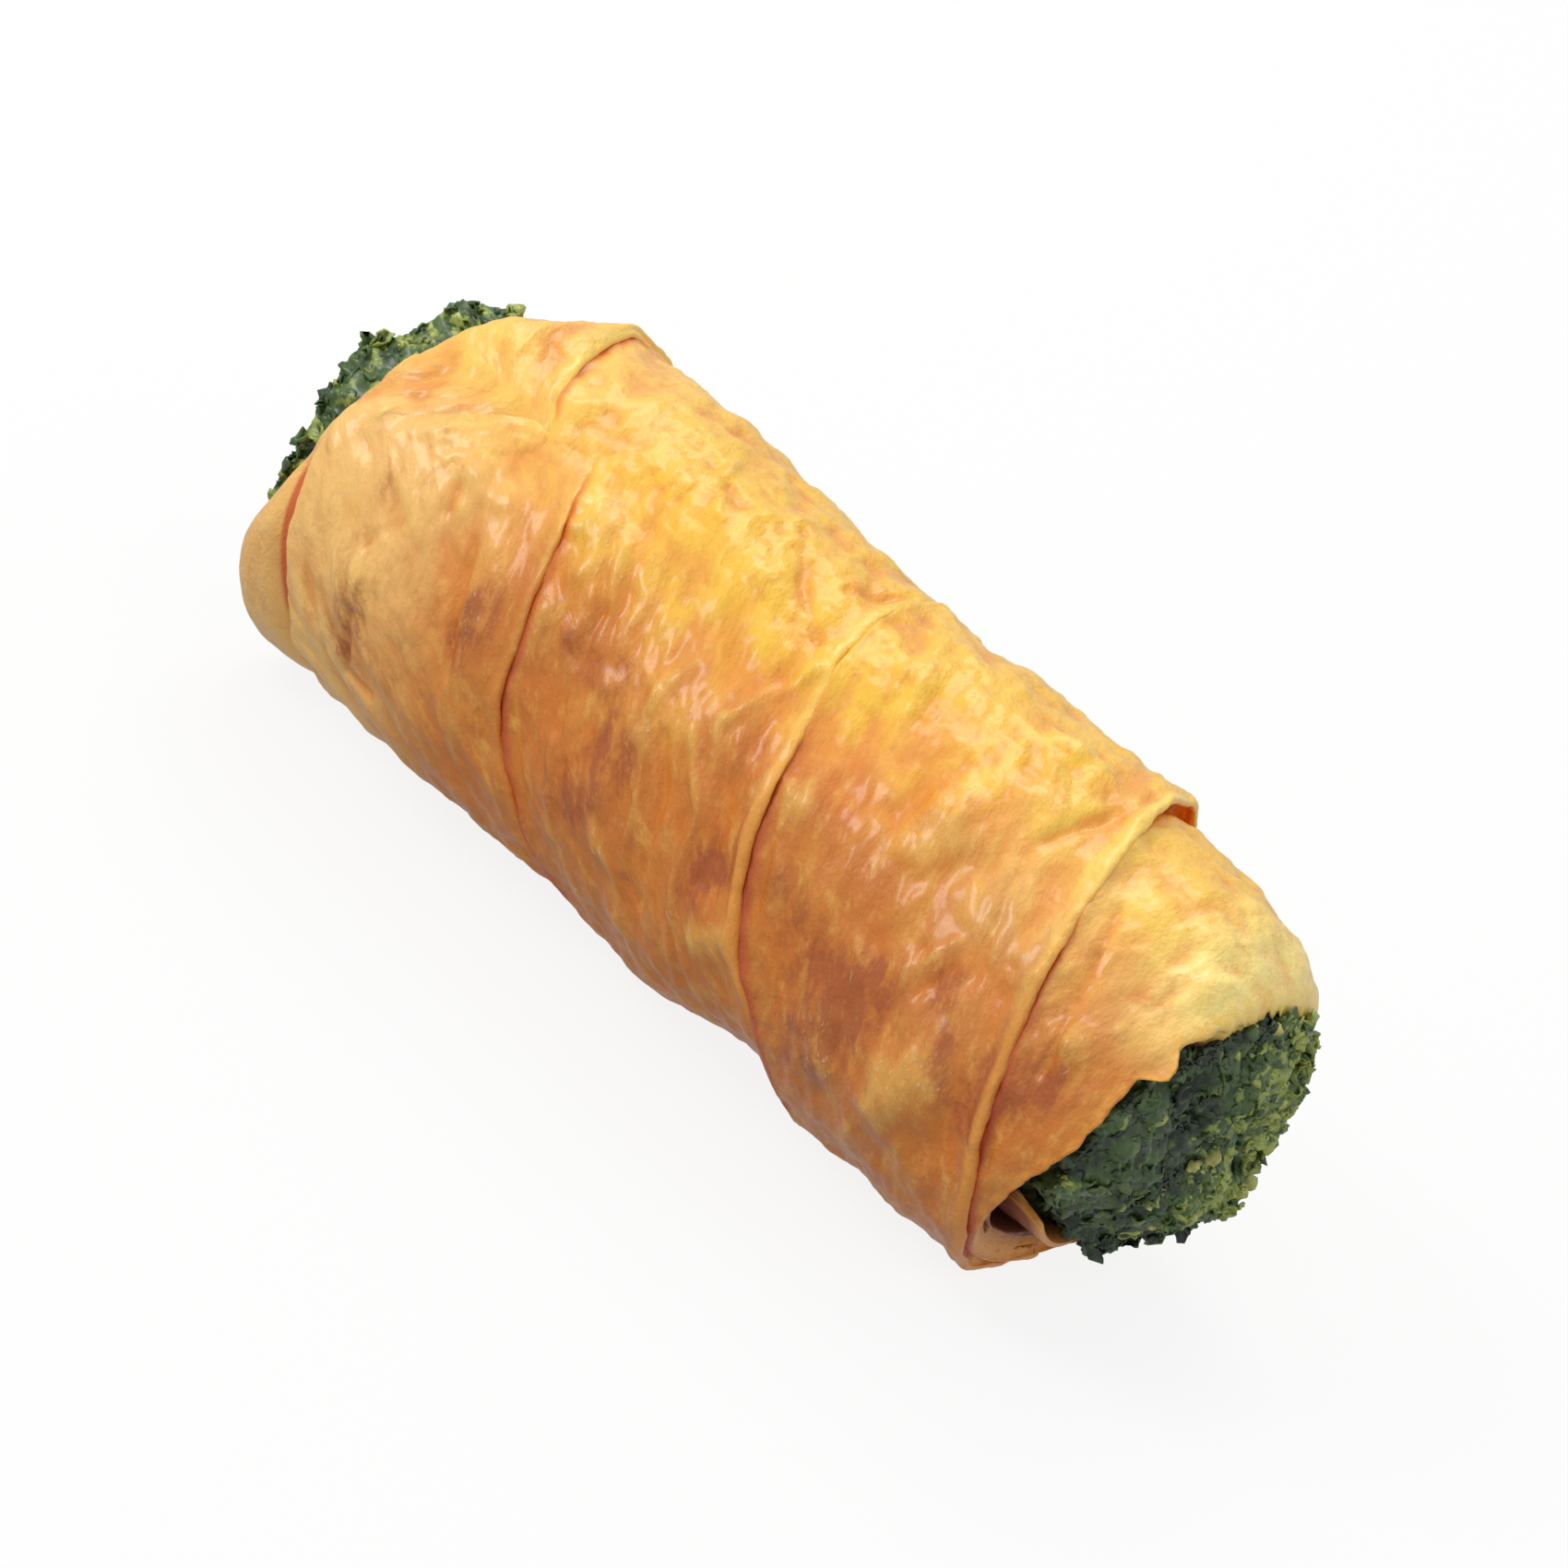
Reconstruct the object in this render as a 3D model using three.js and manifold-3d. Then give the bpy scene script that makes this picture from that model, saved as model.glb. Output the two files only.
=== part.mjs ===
// A baked borek roll: one long strip of thin dough wound in a helix round a thick
// plug of chopped spinach, which shows at both open ends.
// Millimetres, +Z up, the roll lies along X. Its fuller, photographed end is +X.
// Angles go round the roll: 0 is +Y, 90 is the top, 180 is -Y, 270 is underneath.
import * as THREE from "three";
import { mergeVertices } from "three/addons/utils/BufferGeometryUtils.js";
import Module from "manifold-3d";

const wasm = await Module();
wasm.setup();

// ---------- driving dimensions ----------
const TURN = 360;

// the roll's cross-section, a slightly squared oval that narrows a little towards +X
const HALF_WIDTH = 25.0;
const HALF_HEIGHT = 22.8;
const SQUARENESS = 2.05; // 2 is a plain ellipse
const AXIS_HEIGHT = 21.8; // lower than HALF_HEIGHT, so the underside rests flat
const TAPER = 0.0006; // share of the section lost per mm towards +X

// where the dough ends, as [angle, x]
const NEAR_RIM = [
  [0, 56.0],
  [45, 57.2],
  [88, 58.0],
  [122, 58.6],
  [141, 57.0],
  [169, 55.9],
  [191, 54.3],
  [232, 50.8],
  [262, 51.4],
  [285, 52.4],
  [325, 54.8],
];
const FAR_RIM = [
  [0, -45.5],
  [57, -45.0],
  [93, -47.1],
  [117, -50.8],
  [145, -52.6],
  [178, -53.4],
  [200, -55.6],
  [235, -54.0],
  [275, -50.0],
  [320, -47.0],
];
// how far the dough curls inwards at the rims, as [angle, mm]
const NEAR_CURL = [
  [0, 6.0],
  [60, 6.8],
  [105, 5.4],
  [140, 1.2],
  [185, 0.7],
  [235, 1.2],
  [285, 3.6],
];
const FAR_CURL = [
  [0, 1.6],
  [90, 1.4],
  [150, 1.2],
  [200, 3.0],
  [240, 3.0],
  [300, 1.8],
];
const NEAR_CURL_LENGTH = 13;
const FAR_CURL_LENGTH = 3.5;

// the wound strip, followed by its winding angle from its loose end to the near rim
const STRIP_START = 116;
const STRIP_STOP = 986;
const STRIP_RIGHT_EDGE = [
  [116, -28.3],
  [140, -24.4],
  [180, -17.3],
  [205, -11.5],
  [230, -5.5],
  [270, -2.2],
  [360, 0.2],
  [436, 2.1],
  [472, 4.8],
  [497, 9.4],
  [541, 16.6],
  [565, 22.5],
  [600, 27.5],
  [660, 31.0],
  [777, 34.6],
  [839, 41.3],
  [867, 45.3],
  [900, 48.9],
  [926, 51.0],
  [986, 53.5],
];
const STRIP_LEFT_EDGE = [
  [116, -52.2],
  [150, -51.4],
  [165, -50.4],
  [190, -48.2],
  [213, -45.9],
  [232, -44.9],
  [290, -44.0],
  [360, -43.8],
  [424, -43.4],
  [485, -42.6],
  [508, -38.0],
  [530, -22.5],
];
const STRIP_WIDTH = 36; // where the next turn hides its left edge
const LOOSE_END_ANGLE = [
  [-52.2, 148],
  [-46.5, 140],
  [-42.0, 135],
  [-33.3, 125],
  [-28.3, 116],
]; // the strip's slanting end, as [x, angle]
const LOOSE_END_FADE = 70; // degrees over which the winding takes up that slant
const STRIP_LIP_HEIGHT = [
  [116, 0.7],
  [140, 1.3],
  [175, 1.4],
  [205, 0.5],
  [236, -1.4],
  [300, 0.6],
  [350, 1.2],
  [420, 0.0],
  [450, 0.6],
  [516, 1.6],
  [560, 0.4],
  [596, -2.0],
  [660, 0.8],
  [720, 1.8],
  [777, 2.3],
  [839, 1.9],
  [881, 1.6],
  [920, 0.9],
  [952, 0.5],
  [986, 0.4],
];
const STRIP_LEFT_HEIGHT = [
  [116, 0.5],
  [150, 0.8],
  [180, 1.3],
  [215, 1.1],
  [240, 0.4],
  [330, 0.2],
  [424, -0.3],
  [500, -0.5],
  [560, -0.5],
  [600, -0.5],
  [700, -0.3],
]; // both heights are above the bare section
const STRIP_PUFF = 0.45; // how much a turn swells between its edges

// the collar of dough round the far end, under the strip's loose end
const COLLAR_EDGE = [
  [0, -41.6],
  [40, -42.6],
  [64, -43.0],
  [80, -41.9],
  [98, -39.6],
  [115, -36.5],
  [128, -32.5],
  [150, -38.0],
  [200, -41.0],
  [300, -41.0],
];
const COLLAR_LIP_HEIGHT = [
  [0, 0.9],
  [64, 1.1],
  [98, 1.1],
  [118, 0.5],
  [140, -0.4],
  [170, -1.6],
  [260, -1.6],
  [310, 0.2],
];
const COLLAR_RIM_HEIGHT = [
  [0, 0.3],
  [140, 0.3],
  [175, -0.2],
  [235, -0.4],
  [290, 0.2],
];

// a sheet's loose edge
const SHEET = 1.0; // thickness there
const UNDERCUT = 2.4; // how far back the gap under it reaches
const BURIED = -2.4; // depth to which every sheet is rooted in the roll

// blisters and dents of the baked dough: [x, angle, length, width, height]
const BLISTERS = [
  [26.1, 131, 6, 5, 1.1],
  [16.4, 147, 8, 9, 0.8],
  [40.8, 180, 9, 9, 1.0],
  [38.2, 193, 7, 8, 0.7],
  [51.5, 151, 7, 6, 0.8],
  [-20.2, 141, 9, 8, 0.7],
  [-15.4, 110, 9, 8, 0.6],
  [-38.0, 186, 11, 10, 0.7],
  [-5.5, 117, 8, 9, 0.5],
  [23.0, 89, 9, 8, 0.6],
  [-30.0, 60, 10, 10, 0.6],
  [10.0, 20, 11, 10, 0.7],
  [30.0, 345, 10, 9, 0.8],
  [-8.0, 330, 10, 9, 0.7],
  [44.0, 40, 10, 9, 0.6],
  [-30.0, 5, 9, 9, 0.7],
  [6.0, 238, 20, 16, 0.8],
  [19.0, 238, 12, 16, -1.0],
  [-8.0, 60, 24, 20, -0.5],
  [26.0, 60, 16, 16, -0.4],
  [56.0, 72, 14, 18, -0.5],
];

// the filling
const PLUG_RADIUS = 15.6;
const PLUG_FAR_RADIUS = 20.2;
const PLUG_FLARE = [-52, -36]; // the stretch of x over which the plug widens
const NEAR_SAG = [1.5, -1.0]; // how far the plug moves aside and down at its near end
const SPILL = 1.8; // how far it spreads over the rims
const GAP = 0.3; // between dough and filling
const LUMPS_NEAR = 44;
const LUMPS_FAR = 34;
const LUMP_SIZE = [2.2, 3.5]; // radius
const SEED = 20417;

// where the filling's two faces stand: [angle, x] at their edge, and their middle
const NEAR_FACE_EDGE = [
  [0, 60.2],
  [45, 59.8],
  [90, 59.6],
  [135, 58.2],
  [185, 55.6],
  [230, 52.8],
  [262, 54.0],
  [305, 59.2],
  [335, 60.8],
];
const NEAR_FACE_MIDDLE = 60.4;
const FAR_FACE_EDGE = [
  [0, -49.0],
  [60, -51.0],
  [105, -55.8],
  [150, -57.6],
  [190, -57.4],
  [240, -55.0],
  [300, -51.5],
];
const FAR_FACE_MIDDLE = -56.0;
const ROOM_BEYOND = 70; // half the length of the space in which the filling may lie

// the hollow between the outer sheets and the inner roll, low at the near end
const HOLLOW_CORNERS = [
  [20.3, 199],
  [16.9, 212],
  [17.2, 240],
  [20.4, 226],
]; // as [radius, angle]
const HOLLOW_DEPTH = 9;
const SLIT_ANGLES = [201, 218];
const SLIT_RADII = [21.1, 21.9];
const SLIT_DEPTH = 5;

// fineness of the faceted solids
const ANGLE_STEP = 6;
const TOP_SAMPLES = 8;
const PLUG_COARSENESS = 2; // the plug is hidden but for its lumps: every 2nd angle
const TUCK = 0.1; // how much slimmer a stretch of strip is where it meets the next
const LEAST_RELIEVED = -1.4; // points rooted deeper than this carry no relief

// ---------- small helpers ----------
const mix = (a, b, t) => a + (b - a) * t;
const clamp01 = (t) => Math.min(1, Math.max(0, t));
const smooth = (a, b, v) => {
  const t = clamp01((v - a) / (b - a));
  return t * t * (3 - 2 * t);
};
const radians = THREE.MathUtils.degToRad;
const wrapAngle = (angle) => ((angle % TURN) + TURN) % TURN;

function randomSource(seed) {
  let state = seed;
  return () => {
    state = (state * 1664525 + 1013904223) % 4294967296;
    return state / 4294967296;
  };
}

// A smooth curve through [position, value] knots that never overshoots them.
function through(knots) {
  const slope = knots.slice(1).map(([p, v], i) => (v - knots[i][1]) / (p - knots[i][0]));
  const tangent = knots.map((_, i) => {
    if (i === 0) return slope[0];
    if (i === knots.length - 1) return slope[i - 1];
    const product = slope[i - 1] * slope[i];
    return product > 0 ? (2 * product) / (slope[i - 1] + slope[i]) : 0;
  });
  return (position) => {
    if (position <= knots[0][0]) return knots[0][1];
    const last = knots.length - 1;
    if (position >= knots[last][0]) return knots[last][1];
    let i = 0;
    while (position > knots[i + 1][0]) i++;
    const span = knots[i + 1][0] - knots[i][0];
    const t = (position - knots[i][0]) / span;
    const start = knots[i][1] + span * tangent[i] * t * (1 - t) * (1 - t);
    const blend = (knots[i + 1][1] - knots[i][1]) * t * t * (3 - 2 * t);
    return start + blend - span * tangent[i + 1] * t * t * (1 - t);
  };
}

// The same round the whole roll: the knots repeat every turn.
function around(knots) {
  const shifted = (turns) => knots.map(([angle, value]) => [angle + turns * TURN, value]);
  const curve = through([...shifted(-1), ...knots, ...shifted(1)]);
  return (angle) => curve(wrapAngle(angle));
}

const nearRim = around(NEAR_RIM);
const farRim = around(FAR_RIM);
const nearFace = { edge: around(NEAR_FACE_EDGE), middle: NEAR_FACE_MIDDLE, outward: 1 };
const farFace = { edge: around(FAR_FACE_EDGE), middle: FAR_FACE_MIDDLE, outward: -1 };
const nearCurl = around(NEAR_CURL);
const farCurl = around(FAR_CURL);
const stripRight = through(STRIP_RIGHT_EDGE);
const stripLipHeight = through(STRIP_LIP_HEIGHT);
const stripLeftHeight = through(STRIP_LEFT_HEIGHT);
const collarEdge = around(COLLAR_EDGE);
const collarLipHeight = around(COLLAR_LIP_HEIGHT);
const collarRimHeight = around(COLLAR_RIM_HEIGHT);
const looseEnd = through(LOOSE_END_ANGLE);
const leftKnots = through(STRIP_LEFT_EDGE);
const lastLeftKnot = STRIP_LEFT_EDGE.at(-1)[0];

function stripLeft(winding) {
  const hidden = stripRight(winding) - STRIP_WIDTH;
  return mix(leftKnots(winding), hidden, smooth(lastLeftKnot - 20, lastLeftKnot, winding));
}

// ---------- the roll's surface ----------
const taper = (x) => 1 - TAPER * x;

function sectionRadius(x, angle) {
  const across = Math.abs(Math.cos(radians(angle)) / HALF_WIDTH);
  const upward = Math.abs(Math.sin(radians(angle)) / HALF_HEIGHT);
  const sum = across ** SQUARENESS + upward ** SQUARENESS;
  return taper(x) * sum ** (-1 / SQUARENESS);
}

function at(x, angle, radius) {
  const y = radius * Math.cos(radians(angle));
  const z = AXIS_HEIGHT * taper(x) + radius * Math.sin(radians(angle));
  return new THREE.Vector3(x, y, z);
}

// How far the ends of the roll curl in at this place.
function curl(x, angle) {
  const near = clamp01((x - nearRim(angle) + NEAR_CURL_LENGTH) / NEAR_CURL_LENGTH);
  const far = clamp01((farRim(angle) + FAR_CURL_LENGTH - x) / FAR_CURL_LENGTH);
  const quarter = (t) => 1 - Math.sqrt(1 - 0.998 * t * t);
  return nearCurl(angle) * quarter(near) + farCurl(angle) * quarter(far);
}

// Blisters and the slow waves of the dough.
function relief(x, angle) {
  const arc = radians(angle) * HALF_HEIGHT;
  let height = 0.16 * Math.sin(x * 0.31 + arc * 0.12) + 0.14 * Math.sin(arc * 0.27 - x * 0.17);
  for (const [bx, bAngle, length, width, rise] of BLISTERS) {
    const turned = wrapAngle(angle - bAngle + TURN / 2) - TURN / 2;
    const u = (x - bx) / (length / 2);
    const v = (radians(turned) * HALF_HEIGHT) / (width / 2);
    height += rise * Math.exp(-u * u - v * v);
  }
  return height;
}

const onRoll = (x, angle, height) =>
  at(x, angle, sectionRadius(x, angle) + height - curl(x, angle));

// ---------- solids ----------
function meshSolid(geometry) {
  const bare = geometry.index ? geometry.clone() : geometry;
  bare.deleteAttribute("normal");
  bare.deleteAttribute("uv");
  const merged = mergeVertices(bare, 1e-4);
  return new wasm.Manifold(
    new wasm.Mesh({
      numProp: 3,
      vertProperties: new Float32Array(merged.attributes.position.array),
      triVerts: new Uint32Array(merged.index.array),
    }),
  );
}

// A closed outline carried from station to station. Its stations close into a ring,
// or end in caps whose outlines are given as flat points.
function sweep(stations, startOutline, endOutline) {
  const count = stations[0].length;
  const positions = stations.flat().flatMap((p) => [p.x, p.y, p.z]);
  const index = [];
  const lastStation = startOutline ? stations.length - 1 : stations.length;
  for (let s = 0; s < lastStation; s++) {
    const next = (s + 1) % stations.length;
    for (let k = 0; k < count; k++) {
      const a = s * count + k;
      const b = s * count + ((k + 1) % count);
      const c = next * count + ((k + 1) % count);
      const d = next * count + k;
      index.push(a, b, c, a, c, d);
    }
  }
  if (startOutline) {
    const end = (stations.length - 1) * count;
    const cap = (outline) => THREE.ShapeUtils.triangulateShape(outline, []);
    const turned = THREE.ShapeUtils.area(startOutline) > 0;
    for (const [a, b, c] of cap(startOutline)) index.push(a, ...(turned ? [c, b] : [b, c]));
    for (const [a, b, c] of cap(endOutline)) {
      index.push(end + a, ...(turned ? [end + b, end + c] : [end + c, end + b]));
    }
  }
  return facingOut(positions, index);
}

// A form turned about the roll's axis: rings of points between two tips.
function turned(firstTip, rings, lastTip) {
  const count = rings[0].length;
  const positions = [firstTip, ...rings.flat(), lastTip].flatMap((p) => [p.x, p.y, p.z]);
  const last = positions.length / 3 - 1;
  const index = [];
  for (let k = 0; k < count; k++) {
    const beside = (k + 1) % count;
    index.push(0, 1 + beside, 1 + k);
    for (let r = 0; r + 1 < rings.length; r++) {
      const a = 1 + r * count + k;
      const b = 1 + r * count + beside;
      index.push(a, b, b + count, a, b + count, a + count);
    }
    const end = 1 + (rings.length - 1) * count;
    index.push(end + k, end + beside, last);
  }
  return facingOut(positions, index);
}

// The solid of these triangles, turned inside out if they face inwards.
function facingOut(positions, index) {
  const geometry = new THREE.BufferGeometry();
  geometry.setAttribute("position", new THREE.Float32BufferAttribute(positions, 3));
  geometry.setIndex(index);
  const made = meshSolid(geometry);
  if (made.volume() > 0) return made;
  geometry.setIndex(index.map((_, i) => index[i - (i % 3) + [0, 2, 1][i % 3]]));
  return meshSolid(geometry);
}

const angles = (from, to) => {
  const steps = Math.max(1, Math.round((to - from) / ANGLE_STEP));
  return Array.from({ length: steps + 1 }, (_, i) => mix(from, to, i / steps));
};

// ---------- dough ----------
const holeRadius = (x) =>
  GAP + mix(PLUG_FAR_RADIUS, PLUG_RADIUS, smooth(PLUG_FLARE[0], PLUG_FLARE[1], x));

// A point of the roll, moved by a share of the filling's sag towards the near end.
function sunk(x, angle, radius, share) {
  const moved = share * smooth(20, 54, x);
  const [aside, down] = NEAR_SAG;
  return at(x, angle, radius).add(new THREE.Vector3(0, aside * moved, down * moved));
}

// The inner layers: a tube from rim to rim, a little below the wound strip.
function innerLayers() {
  const coveredDepth = 1.3;
  const outline = (angle) => {
    const near = nearRim(angle);
    const far = farRim(angle) + 0.5;
    const points = [];
    const outer = (x) => {
      const bare = smooth(30, 36, x) * (1 - smooth(near - 3, near, x));
      const height = mix(-coveredDepth, -0.35, smooth(30, 36, x)) + bare * relief(x, angle);
      points.push(onRoll(x, angle, height));
    };
    for (const x of [far, far + 2.5, -20, 10, 31]) outer(x);
    for (const share of [0, 0.22, 0.42, 0.58, 0.72, 0.84, 0.93, 0.98, 1]) {
      outer(mix(36, near, share));
    }
    const edge = sectionRadius(near, angle) - 0.35 - curl(near, angle);
    const recess = 0.5 + 0.42 * Math.max(0, edge - holeRadius(near));
    const face = (share, back) =>
      points.push(sunk(near - back, angle, mix(holeRadius(near), edge, share), 1 - share));
    face(0.78, 0.15);
    face(0.62, recess);
    face(0.2, recess * 0.7);
    face(0, recess);
    for (const x of [46, 38, 20, PLUG_FLARE[1], mix(...PLUG_FLARE, 0.6), far + 0.6, far]) {
      points.push(sunk(x, angle, holeRadius(x), 1));
    }
    return points;
  };
  return sweep(angles(0, TURN).slice(0, -1).map(outline));
}

// 1 where the roll's own weight presses its sheets together, underneath
function pressed(angle) {
  const place = wrapAngle(angle);
  return smooth(232, 246, place) * (1 - smooth(294, 308, place));
}

// Outline of a sheet lying on the roll, as [x, height] points: rooted at its left,
// loose at its right, with a gap under that edge except where it is pressed.
function sheetOutline(left, right, leftHeight, lipHeight, press) {
  const points = [
    [left + 1.1, BURIED],
    [left, leftHeight - 0.8],
    [left + 0.35, leftHeight - 0.15],
  ];
  for (let i = 1; i < TOP_SAMPLES; i++) {
    const t = i / TOP_SAMPLES;
    const rise = mix(leftHeight, lipHeight, t ** 1.6) + STRIP_PUFF * Math.sin(Math.PI * t);
    points.push([mix(left + 0.6, right - 1.3, t), rise]);
  }
  points.push(
    [right - 1.0, lipHeight],
    [right - 0.25, lipHeight - 0.15],
    [right, lipHeight - 0.5 * SHEET],
    [right - 0.3, mix(lipHeight - SHEET, Math.min(BURIED * 0.5, lipHeight - 0.8), press)],
    [
      right - mix(UNDERCUT, 0.6, press),
      mix(lipHeight - 1.25 * SHEET, Math.min(BURIED * 0.8, lipHeight - 1.1), press),
    ],
    [right - mix(UNDERCUT + 0.8, 1.1, press), Math.min(BURIED, lipHeight - 1.4)],
  );
  return points;
}

const flat = (outline) => outline.map(([x, height]) => new THREE.Vector2(x, height));

// The strip's outline at this winding, a little slimmer where it is tucked.
function stripOutline(winding, tuck) {
  const right = Math.min(stripRight(winding), nearRim(winding) + 0.5);
  return sheetOutline(
    stripLeft(winding) + tuck,
    right - tuck,
    stripLeftHeight(winding) - tuck,
    stripLipHeight(winding) - tuck,
    pressed(winding),
  );
}

// One stretch of the wound strip, less than a turn long. Its two ends are tucked, so
// that where it runs on into its neighbour no faces coincide.
function stripStretch(from, to) {
  const windings = angles(from, to);
  const outlines = windings.map((winding, i) => {
    const inside = i > 0 && i < windings.length - 1;
    return stripOutline(winding, inside || winding === STRIP_START ? 0 : TUCK);
  });
  const stations = windings.map((winding, i) => {
    const slant = 1 - clamp01((winding - STRIP_START) / LOOSE_END_FADE);
    return outlines[i].map(([x, height]) => {
      const angle = winding + slant * (looseEnd(x) - STRIP_START);
      const raised = height > LEAST_RELIEVED ? relief(x, angle) : 0;
      return onRoll(x, angle, height + raised);
    });
  });
  return sweep(stations, flat(outlines[0]), flat(outlines.at(-1)));
}

function woundStrip() {
  const cuts = [STRIP_START, 290, 620, 950, STRIP_STOP]; // all on the hidden side
  return cuts.slice(1).map((to, i) => stripStretch(cuts[i], to + ANGLE_STEP));
}

// The collar has the same kind of edge, but closes into a ring.
function collar() {
  const stations = angles(0, TURN).slice(0, -1).map((angle) => {
    const right = collarEdge(angle);
    const height = collarLipHeight(angle);
    const press = pressed(angle);
    const outline = sheetOutline(farRim(angle), right, collarRimHeight(angle), height, press);
    return outline.map(([x, rise]) => {
      const raised = rise > LEAST_RELIEVED ? relief(x, angle) : 0;
      const radius = sectionRadius(x, angle) + rise + raised - curl(x, angle);
      return at(x, angle, Math.max(radius, holeRadius(x) + 0.1));
    });
  });
  return sweep(stations);
}

// A slanting pocket in the near end, from its corners as [radius, angle].
function pocket(corners, depth, mouth) {
  const [middleRadius, middleAngle] = [0, 1].map(
    (k) => corners.reduce((sum, corner) => sum + corner[k], 0) / corners.length,
  );
  const station = (x, share) =>
    corners.map(([radius, angle]) =>
      at(x, mix(middleAngle, angle, share), mix(middleRadius, radius, share)),
    );
  const outline = corners.map(
    ([radius, angle]) =>
      new THREE.Vector2(radius * Math.cos(radians(angle)), radius * Math.sin(radians(angle))),
  );
  return sweep([station(mouth - depth, 0.6), station(mouth + 8, 1)], outline, outline);
}

function slitCorners() {
  const [low, high] = SLIT_RADII;
  const [start, end] = SLIT_ANGLES;
  return [
    [low, start],
    [high, mix(start, end, 0.4)],
    [high, end],
    [low, mix(start, end, 0.6)],
  ];
}

function underFloor() {
  const slab = new THREE.BoxGeometry(300, 200, 40);
  slab.translate(0, 0, -20);
  return meshSolid(slab);
}

function dough() {
  const mouth = nearRim(HOLLOW_CORNERS[2][1]);
  const pieces = [innerLayers(), collar(), ...woundStrip()];
  return pieces
    .reduce((whole, piece) => whole.add(piece))
    .subtract(pocket(HOLLOW_CORNERS, HOLLOW_DEPTH, mouth))
    .subtract(pocket(slitCorners(), SLIT_DEPTH, mouth))
    .subtract(underFloor());
}

// ---------- filling ----------
const plugRadius = (x) => holeRadius(x) - GAP;

const inPlug = (x, angle, radius) => sunk(x, angle, radius, 1);

// A ring of points round the roll, coarser where the form is not seen.
const ringOf = (place, every = 1) =>
  angles(0, TURN)
    .slice(0, -1)
    .filter((_, i) => i % every === 0)
    .map(place);

// Where the filling may be: inside the hole, and spilling a little over the rims.
function roomForFilling() {
  const ring = (place, spill) =>
    ringOf((angle) => {
      const x = place(angle);
      return inPlug(x, angle, plugRadius(x) + spill);
    });
  return turned(
    at(-ROOM_BEYOND, 0, 0),
    [
      ring(() => 1 - ROOM_BEYOND, SPILL),
      ring((angle) => farRim(angle) - 0.8, SPILL),
      ring((angle) => farRim(angle) - GAP, 0),
      ring(() => mix(...PLUG_FLARE, 0.6), 0),
      ring(() => PLUG_FLARE[1], 0),
      ring(() => 20, 0),
      ring(() => 38, 0),
      ring(() => 46, 0),
      ring((angle) => nearRim(angle) + GAP, 0),
      ring((angle) => nearRim(angle) + 1.2, SPILL),
      ring(() => ROOM_BEYOND - 1, SPILL),
    ],
    at(ROOM_BEYOND, 0, 0),
  );
}

// The level of a face, from its middle (share 0) to its edge (share 1).
const faceLevel = (face, angle, share) =>
  mix(face.middle, face.edge(angle), share ** 2.5);

// The plug itself, a turned form with domed ends.
function plug() {
  const shrink = 0.05;
  const ring = (place) =>
    ringOf((angle) => {
      const x = place(angle);
      return inPlug(x, angle, plugRadius(x) - shrink);
    }, PLUG_COARSENESS);
  const domed = (face, share) =>
    ringOf((angle) => {
      const radius = share * (plugRadius(face.edge(angle)) - shrink);
      return inPlug(faceLevel(face, angle, share), angle, radius);
    }, PLUG_COARSENESS);
  return turned(
    inPlug(farFace.middle, 0, 0),
    [
      ...[0.4, 0.8].map((share) => domed(farFace, share)),
      ring((angle) => farFace.edge(angle) + 0.8),
      ring((angle) => farRim(angle) + 2),
      ring(() => mix(...PLUG_FLARE, 0.6)),
      ring(() => PLUG_FLARE[1]),
      ring(() => 20),
      ring(() => 38),
      ring(() => 46),
      ring((angle) => Math.min(nearRim(angle), nearFace.edge(angle) - 0.8)),
      ...[0.85, 0.4].map((share) => domed(nearFace, share)),
    ],
    inPlug(nearFace.middle, 0, 0),
  );
}

// One lump of chopped leaf: a crumpled, flattened ball.
function lump(centre, size, random) {
  const ball = new THREE.IcosahedronGeometry(size);
  const place = ball.attributes.position;
  const squash = new THREE.Vector3(mix(0.55, 0.9, random()), mix(0.8, 1.2, random()), 1);
  const turn = new THREE.Euler(random() * 6.3, random() * 6.3, random() * 6.3);
  const dents = [random() * 6, random() * 6, random() * 6];
  const point = new THREE.Vector3();
  for (let i = 0; i < place.count; i++) {
    point.fromBufferAttribute(place, i);
    const wave =
      Math.sin(point.x * 2.1 + dents[0]) +
      Math.sin(point.y * 2.4 + dents[1]) +
      Math.sin(point.z * 2.2 + dents[2]);
    point.multiplyScalar(1 + 0.12 * wave).multiply(squash).applyEuler(turn).add(centre);
    place.setXYZ(i, point.x, point.y, point.z);
  }
  return meshSolid(ball);
}

// Lumps are spread evenly over a face by the golden angle.
function lumpsOver(count, face, random) {
  const golden = 137.508;
  return Array.from({ length: count }, (_, i) => {
    const share = Math.sqrt((i + 0.5) / count);
    const angle = i * golden + 9 * random();
    const size = mix(...LUMP_SIZE, random());
    const radius = (plugRadius(face.edge(angle)) - 0.3 * size + 1.0) * share;
    const depth = face.outward * mix(-2.0, -0.5, random());
    return lump(inPlug(faceLevel(face, angle, share) + depth, angle, radius), size, random);
  });
}

function filling() {
  const random = randomSource(SEED);
  const lumps = [
    ...lumpsOver(LUMPS_NEAR, nearFace, random),
    ...lumpsOver(LUMPS_FAR, farFace, random),
  ];
  return lumps
    .reduce((whole, piece) => whole.add(piece), plug())
    .intersect(roomForFilling())
    .subtract(underFloor());
}

// ---------- the part ----------
// The one main body of a solid: scraps and sealed bubbles are dropped.
const mainBody = (solid) => solid.decompose().sort((a, b) => b.volume() - a.volume())[0];

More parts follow.
